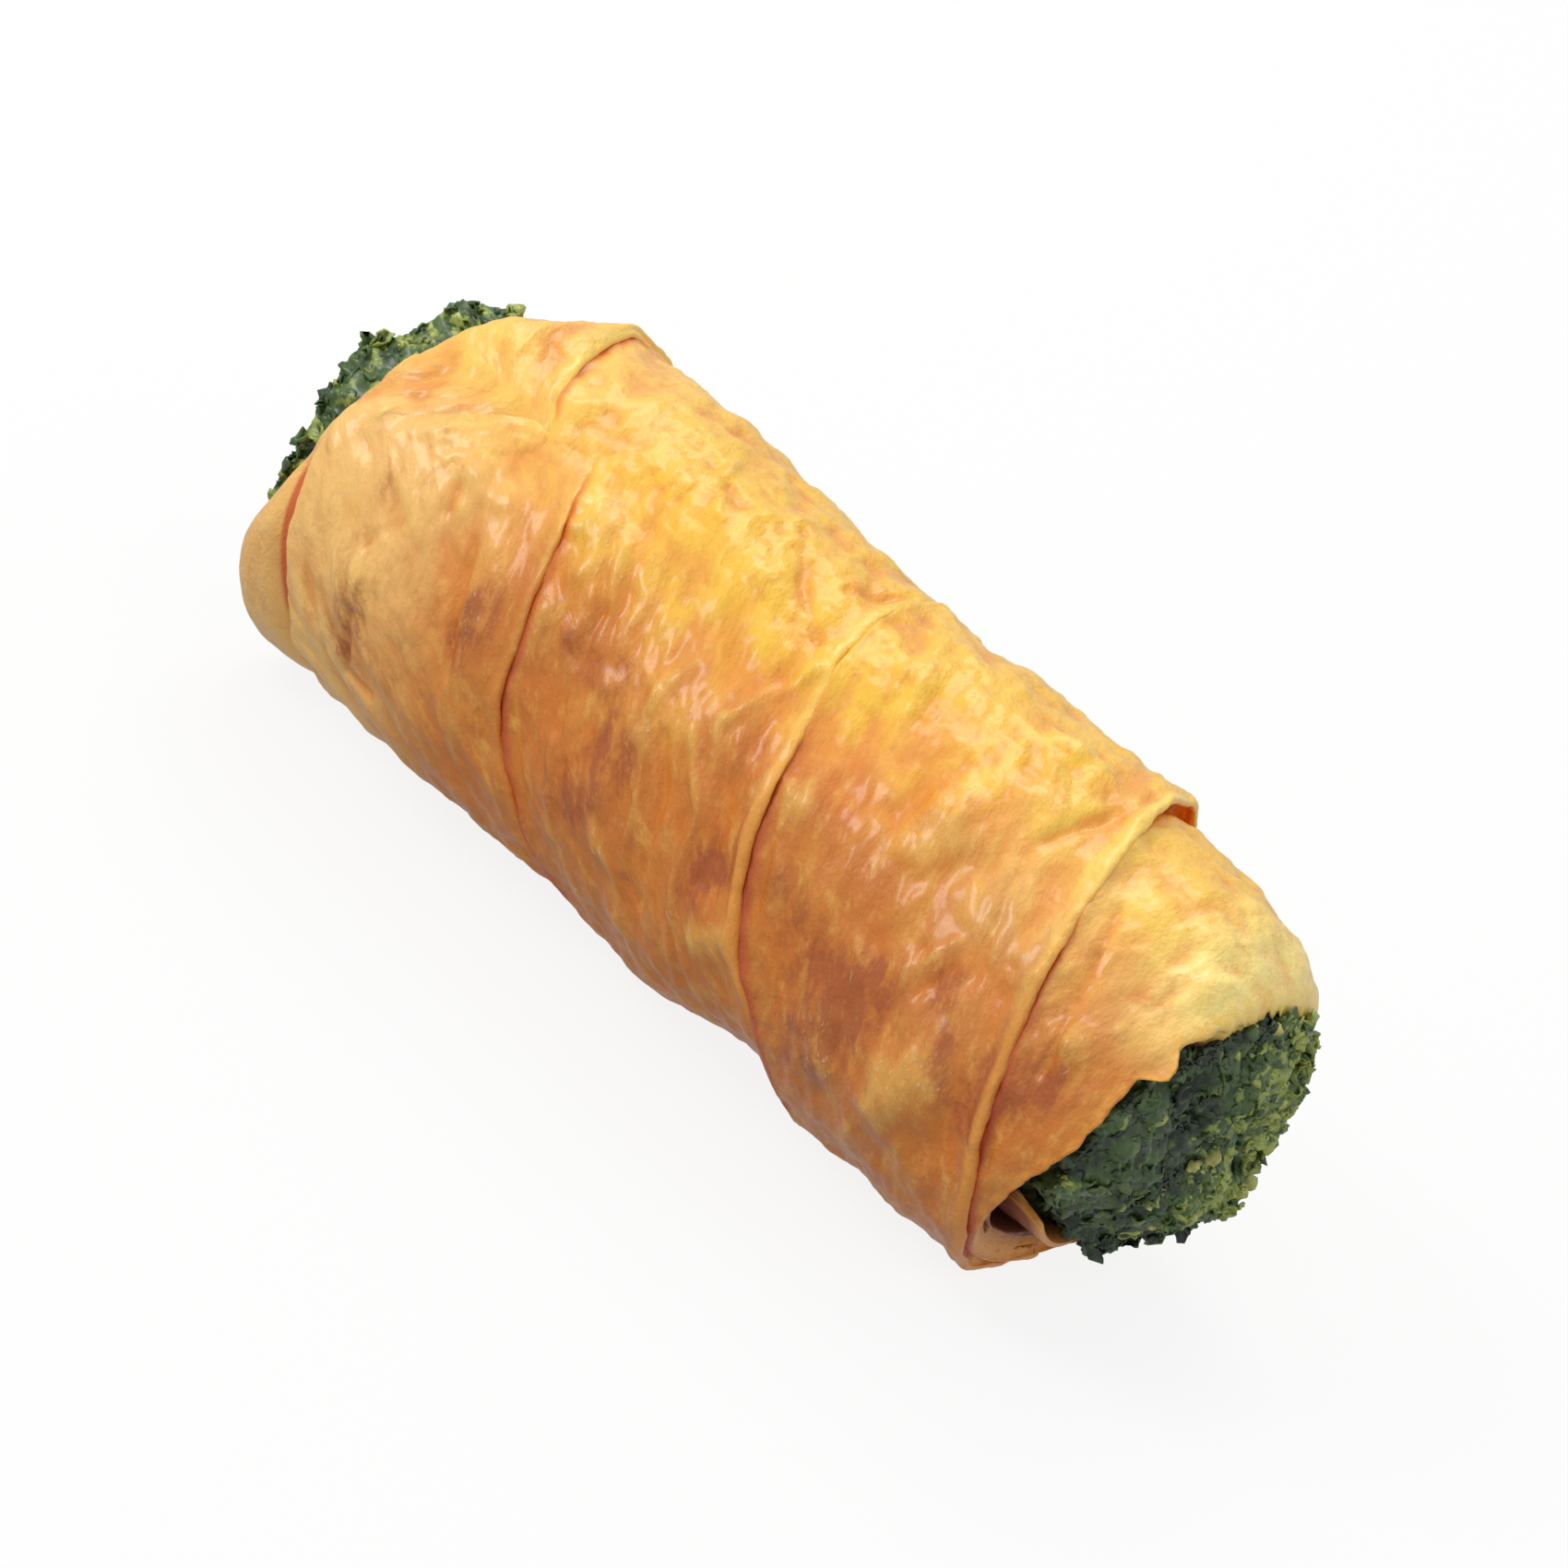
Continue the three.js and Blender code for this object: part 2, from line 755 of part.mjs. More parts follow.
function node(name, solid, colour, roughness, tolerance) {
  const body = mainBody(mainBody(solid).simplify(tolerance));
  const { vertProperties, triVerts } = body.getMesh();
  const geometry = new THREE.BufferGeometry();
  geometry.setAttribute("position", new THREE.BufferAttribute(vertProperties, 3));
  geometry.setIndex(new THREE.BufferAttribute(triVerts, 1));
  geometry.computeVertexNormals();
  const material = new THREE.MeshStandardMaterial({ color: colour, roughness, metalness: 0 });
  const mesh = new THREE.Mesh(geometry, material);
  mesh.name = name;
  return mesh;
}

const borek = new THREE.Group();
borek.add(node("pastry", dough(), 0xd9963f, 0.45, 0.07));
borek.add(node("filling", filling(), 0x2f4a22, 0.6, 0.4));

// The origin goes to the middle of the footprint.
const box = new THREE.Box3().setFromObject(borek);
const middle = box.getCenter(new THREE.Vector3());
borek.position.set(-middle.x, -middle.y, -box.min.z);

export default borek;
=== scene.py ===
"""A baked borek roll: a strip of thin dough wound round chopped spinach.

Every shape is worked out in the roll's own frame, in millimetres: the roll lies
along X, angles go round it (0 is +Y, 90 the top, 180 is -Y, 270 underneath), and
windings go on counting past 360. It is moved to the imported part's frame at the end.
"""

import math

import bpy
import numpy as np
from mathutils import Matrix, Vector


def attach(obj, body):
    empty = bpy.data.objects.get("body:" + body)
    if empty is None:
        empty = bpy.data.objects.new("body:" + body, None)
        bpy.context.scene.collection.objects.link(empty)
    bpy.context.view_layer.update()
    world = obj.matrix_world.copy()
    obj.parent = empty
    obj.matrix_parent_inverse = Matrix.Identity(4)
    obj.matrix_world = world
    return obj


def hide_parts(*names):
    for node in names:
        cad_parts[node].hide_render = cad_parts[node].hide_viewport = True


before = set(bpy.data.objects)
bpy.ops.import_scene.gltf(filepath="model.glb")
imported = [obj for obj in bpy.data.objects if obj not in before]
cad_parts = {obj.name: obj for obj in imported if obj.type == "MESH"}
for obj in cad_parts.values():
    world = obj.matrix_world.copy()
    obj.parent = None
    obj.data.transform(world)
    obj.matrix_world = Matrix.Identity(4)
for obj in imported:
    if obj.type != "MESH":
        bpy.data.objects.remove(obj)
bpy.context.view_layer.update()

TURN = 360.0
MM = 0.001


# ---------- curves through given points -------------
def through(knots):
    """A smooth curve through (position, value) knots that never overshoots them."""
    p, v = (np.array(column, float) for column in zip(*knots))
    slope = np.diff(v) / np.diff(p)
    product = slope[:-1] * slope[1:]
    total = np.where(product > 0, slope[:-1] + slope[1:], 1)
    inner = np.where(product > 0, 2 * product / total, 0)
    tangent = np.concatenate([slope[:1], inner, slope[-1:]])

    def curve(position):
        q = np.clip(np.asarray(position, float), p[0], p[-1])
        i = np.clip(np.searchsorted(p, q, side="right") - 1, 0, len(p) - 2)
        span = p[i + 1] - p[i]
        t = (q - p[i]) / span
        start = v[i] + span * tangent[i] * t * (1 - t) ** 2
        blend = (v[i + 1] - v[i]) * t * t * (3 - 2 * t)
        return start + blend - span * tangent[i + 1] * t * t * (1 - t)

    return curve


def around(knots):
    """The same round the whole roll: the knots repeat every turn."""
    turns = [[(a + k * TURN, v) for a, v in knots] for k in (-1, 0, 1)]
    curve = through(sum(turns, []))
    return lambda angle: curve(np.asarray(angle, float) % TURN)


# ---------- driving dimensions, in mm and degrees ----------
OWN_TO_PART = np.array([-1.831, 0.676, 0.0])

HALF_WIDTH = 25.0
HALF_HEIGHT = 22.8
SQUARENESS = 2.05
AXIS_HEIGHT = 21.8
TAPER = 0.0006

near_rim_curve = around([
    (0, 56), (45, 57.2), (88, 58), (122, 58.4), (141, 57.4), (158, 57.5), (168, 57.1), (178, 55.6),
    (185, 54.4), (192, 53.4), (205, 52), (218, 51), (232, 50.3), (262, 50.8), (285, 52.2),
    (325, 54.8),
])
far_rim = around([
    (0, -45.5), (57, -45), (93, -47.1), (110, -49.2), (128, -50.2), (145, -51.2), (160, -51.9),
    (178, -53), (200, -55.6), (235, -54.4), (275, -50), (320, -47),
])
near_curl = around([(0, 6), (60, 6.8), (105, 5.4), (140, 1.2), (185, 0.7), (235, 1.2), (285, 3.6)])
far_curl = around([(0, 1.6), (90, 1.4), (150, 1.2), (200, 3), (240, 3), (300, 1.8)])
NEAR_CURL_LENGTH = 13.0
FAR_CURL_LENGTH = 3.5
TONGUE_ANGLE, TONGUE_HALF_WIDTH, TONGUE_LENGTH = 140.5, 7.0, 2.0

STRIP_START = 116.0
STRIP_STOP = 986.0
strip_right = through([
    (116, -31.5), (134, -28.3), (143, -26.5), (155.5, -22.9), (167, -20.1), (178, -18.4),
    (191, -15.6), (205, -11.5), (230, -5.5), (270, -2.2), (360, 0.2), (436, 2.1), (472, 4.8),
    (497, 9.4), (541, 16.6), (565, 22.5), (600, 27.5), (660, 31), (777, 34.6), (839, 41.3),
    (867, 45.3), (900, 49.3), (914, 50.8), (928, 51.2), (952, 50.1), (986, 50.6),
])
strip_left_shown = through([
    (116, -52.2), (150, -51.4), (165, -50.4), (190, -48.2), (213, -45.9), (232, -44.9),
    (290, -44.6), (360, -44.6), (424, -44.8), (470, -45), (485, -43.6), (508, -38), (530, -22.5),
])
LEFT_EDGE_SINKS = (510, 530)  # windings where the left edge goes under the next turn
STRIP_WIDTH = 36.0
loose_end = through([(-52.2, 132), (-46.5, 125), (-42, 119), (-33.3, 104), (-28.3, 90)])
LOOSE_END_FADE = 70.0
LOOSE_END_DEPTH = 1.7
LOOSE_END_RAMP = 34.0
strip_lip_height = through([
    (116, -0.1), (126, 0.3), (140, 0.5), (175, 0.6), (205, 0.4), (236, -1.4), (300, 0.5),
    (350, 0.8), (410, 0.1), (436, -0.1), (470, -0.1), (488, 0.2), (508, 0.8), (530, 1), (560, 0.5),
    (596, -2), (660, 0.7), (720, 1.5), (777, 2.2), (800, 1.7), (822, 1), (839, 0.7), (862, 0.8),
    (890, 0.8), (920, 0.9), (940, 0.9), (962, 1.1), (986, 0.6),
])
strip_left_height = through([
    (116, 0.4), (150, 0.4), (180, 0.4), (215, 0.4), (240, 0.4), (330, 0.2), (424, -0.2),
    (500, -0.3), (700, -0.2),
])
STRIP_PUFF = 0.45
strip_roll = through([
    (116, 0), (150, 0.2), (205, 0.4), (430, 0.3), (500, 0.7), (540, 1), (575, 0.4), (700, 0.5),
    (830, 0.9), (870, 1), (930, 0.6), (986, 0.3),
])
# along the strip's right edge: how open the fold under it is, how dark the painted shade
# in the crease beside it is, how far the sheet below rises to meet it, how wide that shade
# is, and how pale the edge is, partly its paler bake and partly painted light through it
lip_opening = through([
    (116, 0), (700, 0), (745, 0.8), (795, 1), (822, 0.3), (840, 0), (908, 0), (915, 0.9),
    (927, 0.9), (934, 0), (986, 0),
])
seam_shade = through([
    (116, 0.6), (126, 0.9), (150, 1), (205, 0.9), (236, 0.6), (420, 0.2), (462, 0.15), (480, 0.3),
    (500, 0.6), (520, 0.75), (545, 0.9), (575, 1), (600, 0.8), (700, 0.6), (777, 0.9), (805, 0.4),
    (835, 0.15), (850, 0.6), (868, 0.9), (926, 1), (944, 0.8), (956, 0.15), (986, 0.15),
])
seam_fill = through([
    (116, 0.1), (150, 0.25), (205, 0.3), (300, 0.3), (400, 0.45), (485, 0.45), (505, 0.45),
    (545, 0.6), (575, 0.45), (700, 0.3), (777, 0), (800, 0.2), (822, 0.9), (845, 0.85), (862, 0.55),
    (930, 0.35), (986, 0.2),
])
seam_width = through([
    (116, 0.8), (205, 0.8), (462, 0.8), (505, 1.2), (540, 1.1), (572, 0.5), (777, 1.4), (838, 0.4),
    (900, 0.4), (986, 0.4),
])
lip_paleness = through([
    (116, 0.9), (135, 0.5), (205, 0.3), (420, 0.3), (470, 0.6), (500, 1), (545, 1), (565, 0.5),
    (600, 0.4), (777, 0.9), (839, 0.8), (880, 0.8), (926, 0.7), (986, 0.6),
])
# how dark the painted shade is in the crease under the collar's edge, by angle
collar_seam_shade = around([(0, 0.5), (60, 0.8), (100, 0.8), (118, 0.75), (126, 0), (330, 0)])

collar_edge = around([
    (0, -41.6), (40, -42.6), (64, -43), (80, -41.9), (98, -39.6), (115, -36.5), (128, -32.5),
    (150, -38), (200, -41), (300, -41),
])
collar_lip_height = around([
    (0, 0.5), (40, 0.25), (80, 0.15), (98, 0.25), (116, 0.1), (128, -0.5), (170, -1.6), (260, -1.6),
    (310, 0.2),
])
collar_rim_height = around([(0, 0.3), (140, 0.3), (165, 0), (185, 0.5), (235, 0.5), (290, 0.2)])
EAR_VALLEY, EAR_VALLEY_WIDTH, EAR_VALLEY_OFFSET, EAR_X = 1.0, 1.1, 0.8, -50.5

SHEET = 0.85
UNDERCUT = 2.2
HIDDEN_DIP, DEEP_DIP = 0.1, 0.6
BURIED = -2.4
LEFT_ROUNDING = 1.0

# blisters and dents of the solid: (x, angle, length, width, height)
BLISTERS = [
    (26.1, 131, 6, 5, 1.1), (16.4, 147, 8, 9, 0.8), (40.8, 180, 9, 9, 1), (38.2, 193, 7, 8, 0.7),
    (51.5, 151, 7, 6, 0.8), (-20.2, 141, 9, 8, 0.7), (-15.4, 110, 9, 8, 0.6),
    (-38, 186, 11, 10, 0.7), (-5.5, 117, 8, 9, 0.5), (23, 89, 9, 8, 0.6), (-30, 60, 10, 10, 0.6),
    (10, 20, 11, 10, 0.7), (30, 345, 10, 9, 0.8), (-8, 330, 10, 9, 0.7), (44, 40, 10, 9, 0.6),
    (-30, 5, 9, 9, 0.7), (6, 238, 20, 16, 0.8), (19, 238, 12, 16, -1), (-8, 60, 24, 20, -0.5),
    (26, 60, 16, 16, -0.4), (56, 72, 14, 18, -0.5),
]

# the filling
PLUG_RADIUS = 15.6
PLUG_FAR_RADIUS = 20.2
PLUG_FLARE = (-52.0, -36.0)
NEAR_SAG = (1.5, -1.0)
GAP = 0.3
near_face_edge = around([
    (0, 58.4), (45, 58.4), (90, 58.4), (135, 57.8), (160, 57.2), (185, 55.6), (205, 54.8),
    (230, 53.8), (262, 54.2), (285, 56), (305, 57.4), (335, 58.4),
])
NEAR_FACE_MIDDLE = 59.2
near_face_radius = around([
    (0, 17.4), (25, 16.6), (45, 16.3), (70, 16), (90, 16.4), (110, 17.2), (125, 18.6), (142, 20.8),
    (158, 22), (172, 21.6), (184, 19.4), (194, 17.2), (204, 15.2), (215, 14.2), (238, 14),
    (254, 14.8), (266, 16.2), (285, 15.8), (300, 16.2), (312, 17.8), (322, 18.8), (331, 16.6),
    (340, 16.6), (349, 17.6),
])
far_face_edge = around([
    (0, -46), (60, -46.5), (80, -47.5), (87, -50.5), (92, -54.2), (99, -55.4), (113, -55.4),
    (126, -55.8), (134, -58), (146, -57.6), (159, -57), (168, -56.4), (178, -56.6), (188, -57),
    (205, -56.4), (240, -54.2), (300, -49.5),
])
FAR_FACE_MIDDLE = -57.0
SIDE = 10.0  # mm of the filling's side wall for one unit of share past the edge
NEAR_SIDE, FAR_SIDE = 3.5, 8.0
# lobes and hollows of the near face: (y, z, size, height)
NEAR_LOBES = [
    (-12, 18.5, 6.5, 0.9), (-15, 28, 5, 0.6), (-6, 31.5, 3.5, 0.5), (3.5, 29, 6, 0.9),
    (13, 22, 4.5, 0.7), (7.5, 12.5, 4.5, 1), (16.5, 9.5, 3.8, 0.9), (-4, 23.5, 3, -1.3),
    (-4.5, 18, 2.6, -1), (-9.5, 30.5, 2.2, -1.1), (12, 15, 2.5, -0.9),
]

GRID = 0.34  # spacing of the dough's mesh
ARC_STEP = math.degrees(GRID / HALF_HEIGHT)
RING_STATIONS = int(TURN / ARC_STEP)
RING_SEAM = 262.0  # where the texture of the closed rings starts, underneath
COLLAR_ACROSS, INNER_ACROSS = 90.0, 184.0  # keep their textures apart from the strip's
SEED = 20417
random = np.random.default_rng(SEED)


# ---------- small helpers ----------
def mix(a, b, t):
    return a + (b - a) * t


def smooth(a, b, v):
    t = np.clip((np.asarray(v, float) - a) / (b - a), 0, 1)
    return t * t * (3 - 2 * t)


def within(a, b, c, d, v):
    """1 from b to c, fading out to 0 at a and d."""
    return smooth(a, b, v) * (1 - smooth(c, d, v))


def bell(distance, width):
    return np.exp(-((distance / width) ** 2))


def wrap(angle):
    """The angle counted from -180 to 180."""
    return (np.asarray(angle, float) + TURN / 2) % TURN - TURN / 2


TABLE = 256
LATTICE = random.uniform(0, 2 * math.pi, (TABLE, TABLE))
SCATTER = random.uniform(0, 1, (4, TABLE, TABLE))


def noise(u, v=0.0, seed=0):
    """Smooth noise over a plane, from about -0.7 to 0.7, with features one unit apart."""
    u, v = np.asarray(u, float) + 37.3 * seed, np.asarray(v, float) + 11.9 * seed
    iu, iv = np.floor(u).astype(int), np.floor(v).astype(int)
    fu, fv = u - iu, v - iv
    su, sv = fu**3 * (fu * (6 * fu - 15) + 10), fv**3 * (fv * (6 * fv - 15) + 10)

    def corner(du, dv):
        turned = LATTICE[(iu + du) % TABLE, (iv + dv) % TABLE]
        return np.cos(turned) * (fu - du) + np.sin(turned) * (fv - dv)

    return mix(mix(corner(0, 0), corner(1, 0), su), mix(corner(0, 1), corner(1, 1), su), sv)


def layered(u, v=0.0, seed=0, octaves=4, fade=0.5):
    """Noise with finer noise on top."""
    return sum(fade**k * noise(u * 2.03**k, v * 2.03**k, seed + k) for k in range(octaves))


def bubbles(u, v, seed=0):
    """Round-topped domes of uneven size, about one to a unit square, 0 to 1 high."""
    u, v = np.broadcast_arrays(np.asarray(u, float) + 29.1 * seed, np.asarray(v, float) + 17.7 * seed)
    iu, iv = np.floor(u).astype(int), np.floor(v).astype(int)
    best = np.zeros(u.shape)
    for du in (-1, 0, 1):
        for dv in (-1, 0, 1):
            cu, cv = iu + du, iv + dv
            jump_u, jump_v, size, rise = SCATTER[:, cu % TABLE, cv % TABLE]
            reach = mix(0.3, 0.68, size)
            away = (u - cu - 0.2 - 0.6 * jump_u) ** 2 + (v - cv - 0.2 - 0.6 * jump_v) ** 2
            dome = np.clip(1 - away / reach**2, 0, 1) ** 0.8
            best = np.maximum(best, dome * mix(0.25, 1.0, rise) * mix(0.5, 1.0, size))
    return best


# ---------- the roll's surface ----------
def near_rim(angle):
    away = np.abs(wrap(angle - TONGUE_ANGLE)) / TONGUE_HALF_WIDTH
    return near_rim_curve(angle) + TONGUE_LENGTH * (1 - smooth(0.15, 1.0, away))


def strip_left(winding):
    hidden = strip_right(winding) - STRIP_WIDTH
    return mix(strip_left_shown(winding), hidden, smooth(*LEFT_EDGE_SINKS, winding))


def flap_winding(x, angle):
    """The winding of the strip's slanted first stretch that lies at this x and angle."""
    slant_end = STRIP_START + LOOSE_END_FADE
    slanted = slant_end - (slant_end - angle) * LOOSE_END_FADE / (slant_end - loose_end(x))
    return np.where(angle < slant_end, slanted, angle)


def taper(x):
    return 1 - TAPER * x


def section_radius(x, angle):
    a = np.radians(angle)
    total = np.abs(np.cos(a) / HALF_WIDTH) ** SQUARENESS
    total = total + np.abs(np.sin(a) / HALF_HEIGHT) ** SQUARENESS
    return taper(x) * total ** (-1 / SQUARENESS)


def at(x, angle, radius):
    """Points at a distance from the roll's axis."""
    a = np.radians(angle)
    x, y, z = np.broadcast_arrays(
        x, radius * np.cos(a), AXIS_HEIGHT * taper(x) + radius * np.sin(a)
    )
    return np.stack([x, y, z], -1)


def curl(x, angle):
    """How far the dough bends in towards its two rims, in mm."""
    near = (x - near_rim_curve(angle) + NEAR_CURL_LENGTH) / NEAR_CURL_LENGTH
    far = (far_rim(angle) + FAR_CURL_LENGTH - x) / FAR_CURL_LENGTH

    def quarter(t):
        return 1 - np.sqrt(1 - 0.998 * np.clip(t, 0, 1) ** 2)

    return near_curl(angle) * quarter(near) + far_curl(angle) * quarter(far)


def hill(x, angle, centre_x, centre_angle, length, width, power=1.0):
    """A rounded hill of height 1 on the roll; a higher power gives it steeper sides."""
    u = (x - centre_x) / (length / 2)
    v = np.radians(wrap(angle - centre_angle)) * HALF_HEIGHT / (width / 2)
    return np.exp(-((u * u + v * v) ** power))


def relief(x, angle):
    """Slow waves and the named blisters, as the solid has them."""
    a = np.radians(angle)
    waves = 0.16 * np.sin(x * 0.31 + 3 * a) + 0.14 * np.sin(6 * a - x * 0.17)
    return waves + sum(rise * hill(x, angle, *place) for *place, rise in BLISTERS)


def ring_arc(angle):
    """Arc length round the roll, counted from a line underneath."""
    return np.radians(RING_SEAM + (angle - RING_SEAM) % TURN) * HALF_HEIGHT


def ring_join(angle):
    """1 everywhere but beside the line underneath where the counting starts."""
    return smooth(0, 12, np.abs(wrap(angle - RING_SEAM)))


def pressed(angle):
    """1 underneath, where the roll's weight shuts the folds."""
    return within(232, 246, 294, 308, np.asarray(angle, float) % TURN)


# ---------- meshes ----------
def to_part(points):
    return (np.asarray(points, float) + OWN_TO_PART) * MM


def add_object(name, data):
    piece = bpy.data.objects.new(name, data)
    bpy.context.scene.collection.objects.link(piece)
    return piece


def add_mesh(name, points, faces, material, values=None):
    """A smooth-shaded piece from points in the roll's own frame."""
    mesh = bpy.data.meshes.new(name)
    mesh.from_pydata(to_part(points).tolist(), [], faces)
    for key, data in (values or {}).items():
        data = np.asarray(data, np.float32)
        kind, field = ("FLOAT_VECTOR", "vector") if data.ndim == 2 else ("FLOAT", "value")
        mesh.attributes.new(key, kind, "POINT").data.foreach_set(field, data.ravel())
    mesh.polygons.foreach_set("use_smooth", [True] * len(mesh.polygons))
    mesh.materials.append(material)
    mesh.update()
    piece = add_object(name, mesh)
    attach(piece, "root")
    return piece


def sweep_faces(stations, count, ring):
    """Quads of an outline of count points carried over the stations, capped if not a ring."""
    index = np.arange(stations * count).reshape(stations, count)
    row = index if ring else index[:-1]
    after = np.roll(index, -1, 0)[: len(row)]
    quads = np.stack([row, after, np.roll(after, -1, 1), np.roll(row, -1, 1)], -1)
    caps = [] if ring else [index[0].tolist(), index[-1, ::-1].tolist()]
    return quads.reshape(-1, 4).tolist() + caps


# ---------- the dough's fine relief and baking ----------
# lines on the dough, as (x, angle) points, with width and height in mm
FOLDS = [
    ([(34, 57), (35.5, 92), (33.6, 122), (37.2, 141), (39.4, 154)], 0.7, -0.45),
    ([(1.4, 155), (7.2, 168.6), (7.6, 174.6), (8.3, 185.4), (9.9, 196.7), (11.6, 210.5)], 0.7, 0.5),
    ([(-2.3, 163), (0.1, 172), (1.3, 180), (2.4, 192)], 0.6, 0.35),
    ([(-0.6, 160), (2.6, 170), (3.9, 182), (5.4, 196)], 0.6, -0.4),
    ([(-10.5, 178.7), (-8.5, 188.6), (-7, 200)], 0.7, 0.35),
    ([(4.6, 150), (9.8, 166), (10.6, 180)], 0.8, -0.4),
    ([(-37.4, 187.4), (-37.1, 193.9), (-36.8, 204), (-32.9, 205)], 0.55, -0.6),
    ([(-31.5, 150), (-29.2, 158.5), (-26.8, 170.5), (-24.6, 183.5)], 0.8, -0.6),
    ([(-34.3, 154.3), (-35, 149.9)], 0.7, -0.5),
    ([(-41.4, 159), (-38.8, 167.5), (-39.1, 173)], 0.6, -0.35),
    ([(-46.2, 133), (-45.3, 142)], 1.3, -0.5),
    ([(-14.3, 148.4), (-13.9, 155), (-13.2, 161.2)], 0.55, -0.5),
    ([(22.6, 128), (22.2, 138.3), (24.6, 146), (28.6, 146.5), (30.2, 141)], 1.2, -0.3),
    ([(21.9, 139.3), (18.4, 140.4), (15.4, 143.9)], 1.3, -0.3),
    ([(-17.5, 135), (-14.6, 144.8), (-12.5, 155.1)], 0.7, 0.45),
    ([(5.2, 124.4), (4.5, 136.9), (3.2, 148.5)], 0.8, 0.45), ([(-3.9, 155), (-2.8, 165)], 0.6, 0.4),
    ([(-11.1, 170.8), (-8.8, 178.6)], 0.6, 0.35), ([(12.6, 149.3), (14.7, 157.9)], 0.6, 0.5),
    ([(33.8, 157.1), (36.6, 174.3)], 0.8, -0.5),
    ([(-23.8, 95.5), (-19.8, 98.4), (-15.6, 102.6)], 1.2, -0.4),
    ([(-1.4, 98), (0.4, 87.4), (1, 76)], 0.7, -0.5),
    ([(35.6, 152.2), (34, 163), (36.6, 173)], 0.9, 0.6), ([(37.4, 156), (36, 165)], 0.7, -0.5),
    ([(43.8, 118), (46.6, 133), (49.2, 147), (50.4, 160)], 0.6, -0.4),
    ([(47.6, 138), (50.6, 152)], 0.7, 0.45), ([(53.2, 124), (53.4, 138)], 0.5, -0.3),
    ([(-10, 92), (-4, 108), (2, 118)], 0.8, -0.4), ([(-22, 84), (-19, 100), (-15, 112)], 0.7, 0.35),
    ([(8, 86), (12, 104), (14.6, 120)], 0.8, 0.35), ([(28, 80), (29, 96)], 0.8, -0.35),
    ([(20, 12), (26, 350), (33, 330)], 0.9, -0.4), ([(-18, 40), (-12, 18), (-6, 355)], 0.9, 0.4),
    ([(42, 30), (47, 8), (49, 345)], 0.8, -0.35), ([(-36, 30), (-33, 8), (-29, 345)], 0.8, 0.35),
]
# crisp little blisters of the skin: (x, angle, length, width, height)
SKIN_BLISTERS = [
    (26, 138, 5.6, 7.4, 0.8), (13.7, 148.7, 5, 4.4, 0.7), (-22, 134.3, 6, 5, 0.7),
    (13.7, 187.4, 4.6, 4.2, 0.6), (-19.1, 157.3, 3, 3.4, 0.45), (-15.5, 156.8, 2.2, 2.4, 0.4),
    (-8.7, 160.2, 2.4, 2.2, 0.4), (-38.6, 181.5, 6.4, 6, 0.45), (-24.6, 165.3, 4.6, 6.8, 0.5),
    (-7.4, 115.4, 4.6, 3.6, 0.5), (-20.5, 110.3, 4, 3.4, 0.5), (12.3, 84.8, 4.4, 3.6, 0.5),
    (26.3, 88.6, 3.8, 3, 0.5), (29.8, 109.7, 3.4, 3, 0.45), (33.3, 99.3, 2.8, 2.6, 0.4),
    (30.6, 131.3, 3, 3.6, 0.5), (4.9, 127.4, 2.4, 2.2, 0.35), (-4.3, 153.5, 2.6, 2.4, 0.35),
    (45.2, 139, 3.4, 3, 0.5), (44.4, 131, 2.6, 2.6, 0.45), (46.6, 147, 4.4, 3.8, 0.4),
    (52.6, 138, 3.6, 4.4, 0.45), (55, 118, 3, 3.4, 0.35), (-44.1, 125.1, 3.4, 3, 0.45),
    (-47.4, 147.7, 2.6, 2.4, 0.4), (-40.7, 143.4, 3, 2.6, 0.4), (-37.7, 131.3, 3.8, 3.2, 0.45),
    (-30.6, 145.1, 3.6, 3, 0.4), (-34.7, 144, 3, 3, 0.4), (31, 193, 5, 5, 0.5),
    (-25.4, 135, 2.6, 2.2, 0.4), (-23, 139.6, 2.2, 2, 0.4), (-18.7, 144.1, 2.8, 3, 0.5),
    (-16.4, 148.6, 2.2, 2.2, 0.4), (-1, 146.6, 2.4, 2, 0.35), (-4.2, 149.8, 2.2, 2, 0.35),
    (14.7, 190.5, 4, 5, 0.5), (38.5, 183.2, 9, 10, 0.7), (51.1, 147.5, 2.4, 4.4, 0.45),
    (42.4, 128.6, 2.2, 2.2, 0.35), (44.8, 144, 2.2, 2.2, 0.4), (43.2, 147.5, 2, 2, 0.35),
]
# where the skin is covered in small glossy bubbles: (x, angle, length, width)
BUBBLY = [
    (-21, 138, 13, 12), (-16, 156, 9, 8), (-34, 165, 14, 15), (44, 138, 7, 14), (51, 147, 6, 8),
    (11, 103, 9, 11), (28, 94, 15, 11), (-20, 109, 7, 7), (-7, 115, 8, 7), (-39, 140, 14, 10),
    (56, 118, 7, 12), (-38, 188, 8, 12),
]


def line_hill(x, arc, points, width):
    """A ridge of height 1 along a line of points."""
    best = np.full(np.broadcast(x, arc).shape, 1e9)
    path = [(px, math.radians(pa) * HALF_HEIGHT) for px, pa in points]
    for (ax, ay), (bx, by) in zip(path, path[1:]):
        if abs(by - ay) > math.pi * HALF_HEIGHT:
            continue
        span = (bx - ax) ** 2 + (by - ay) ** 2
        t = np.clip(((x - ax) * (bx - ax) + (arc - ay) * (by - ay)) / span, 0, 1)
        away = (x - ax - t * (bx - ax)) ** 2 + (arc - ay - t * (by - ay)) ** 2
        best = np.minimum(best, away)
    return np.exp(-best / width**2)


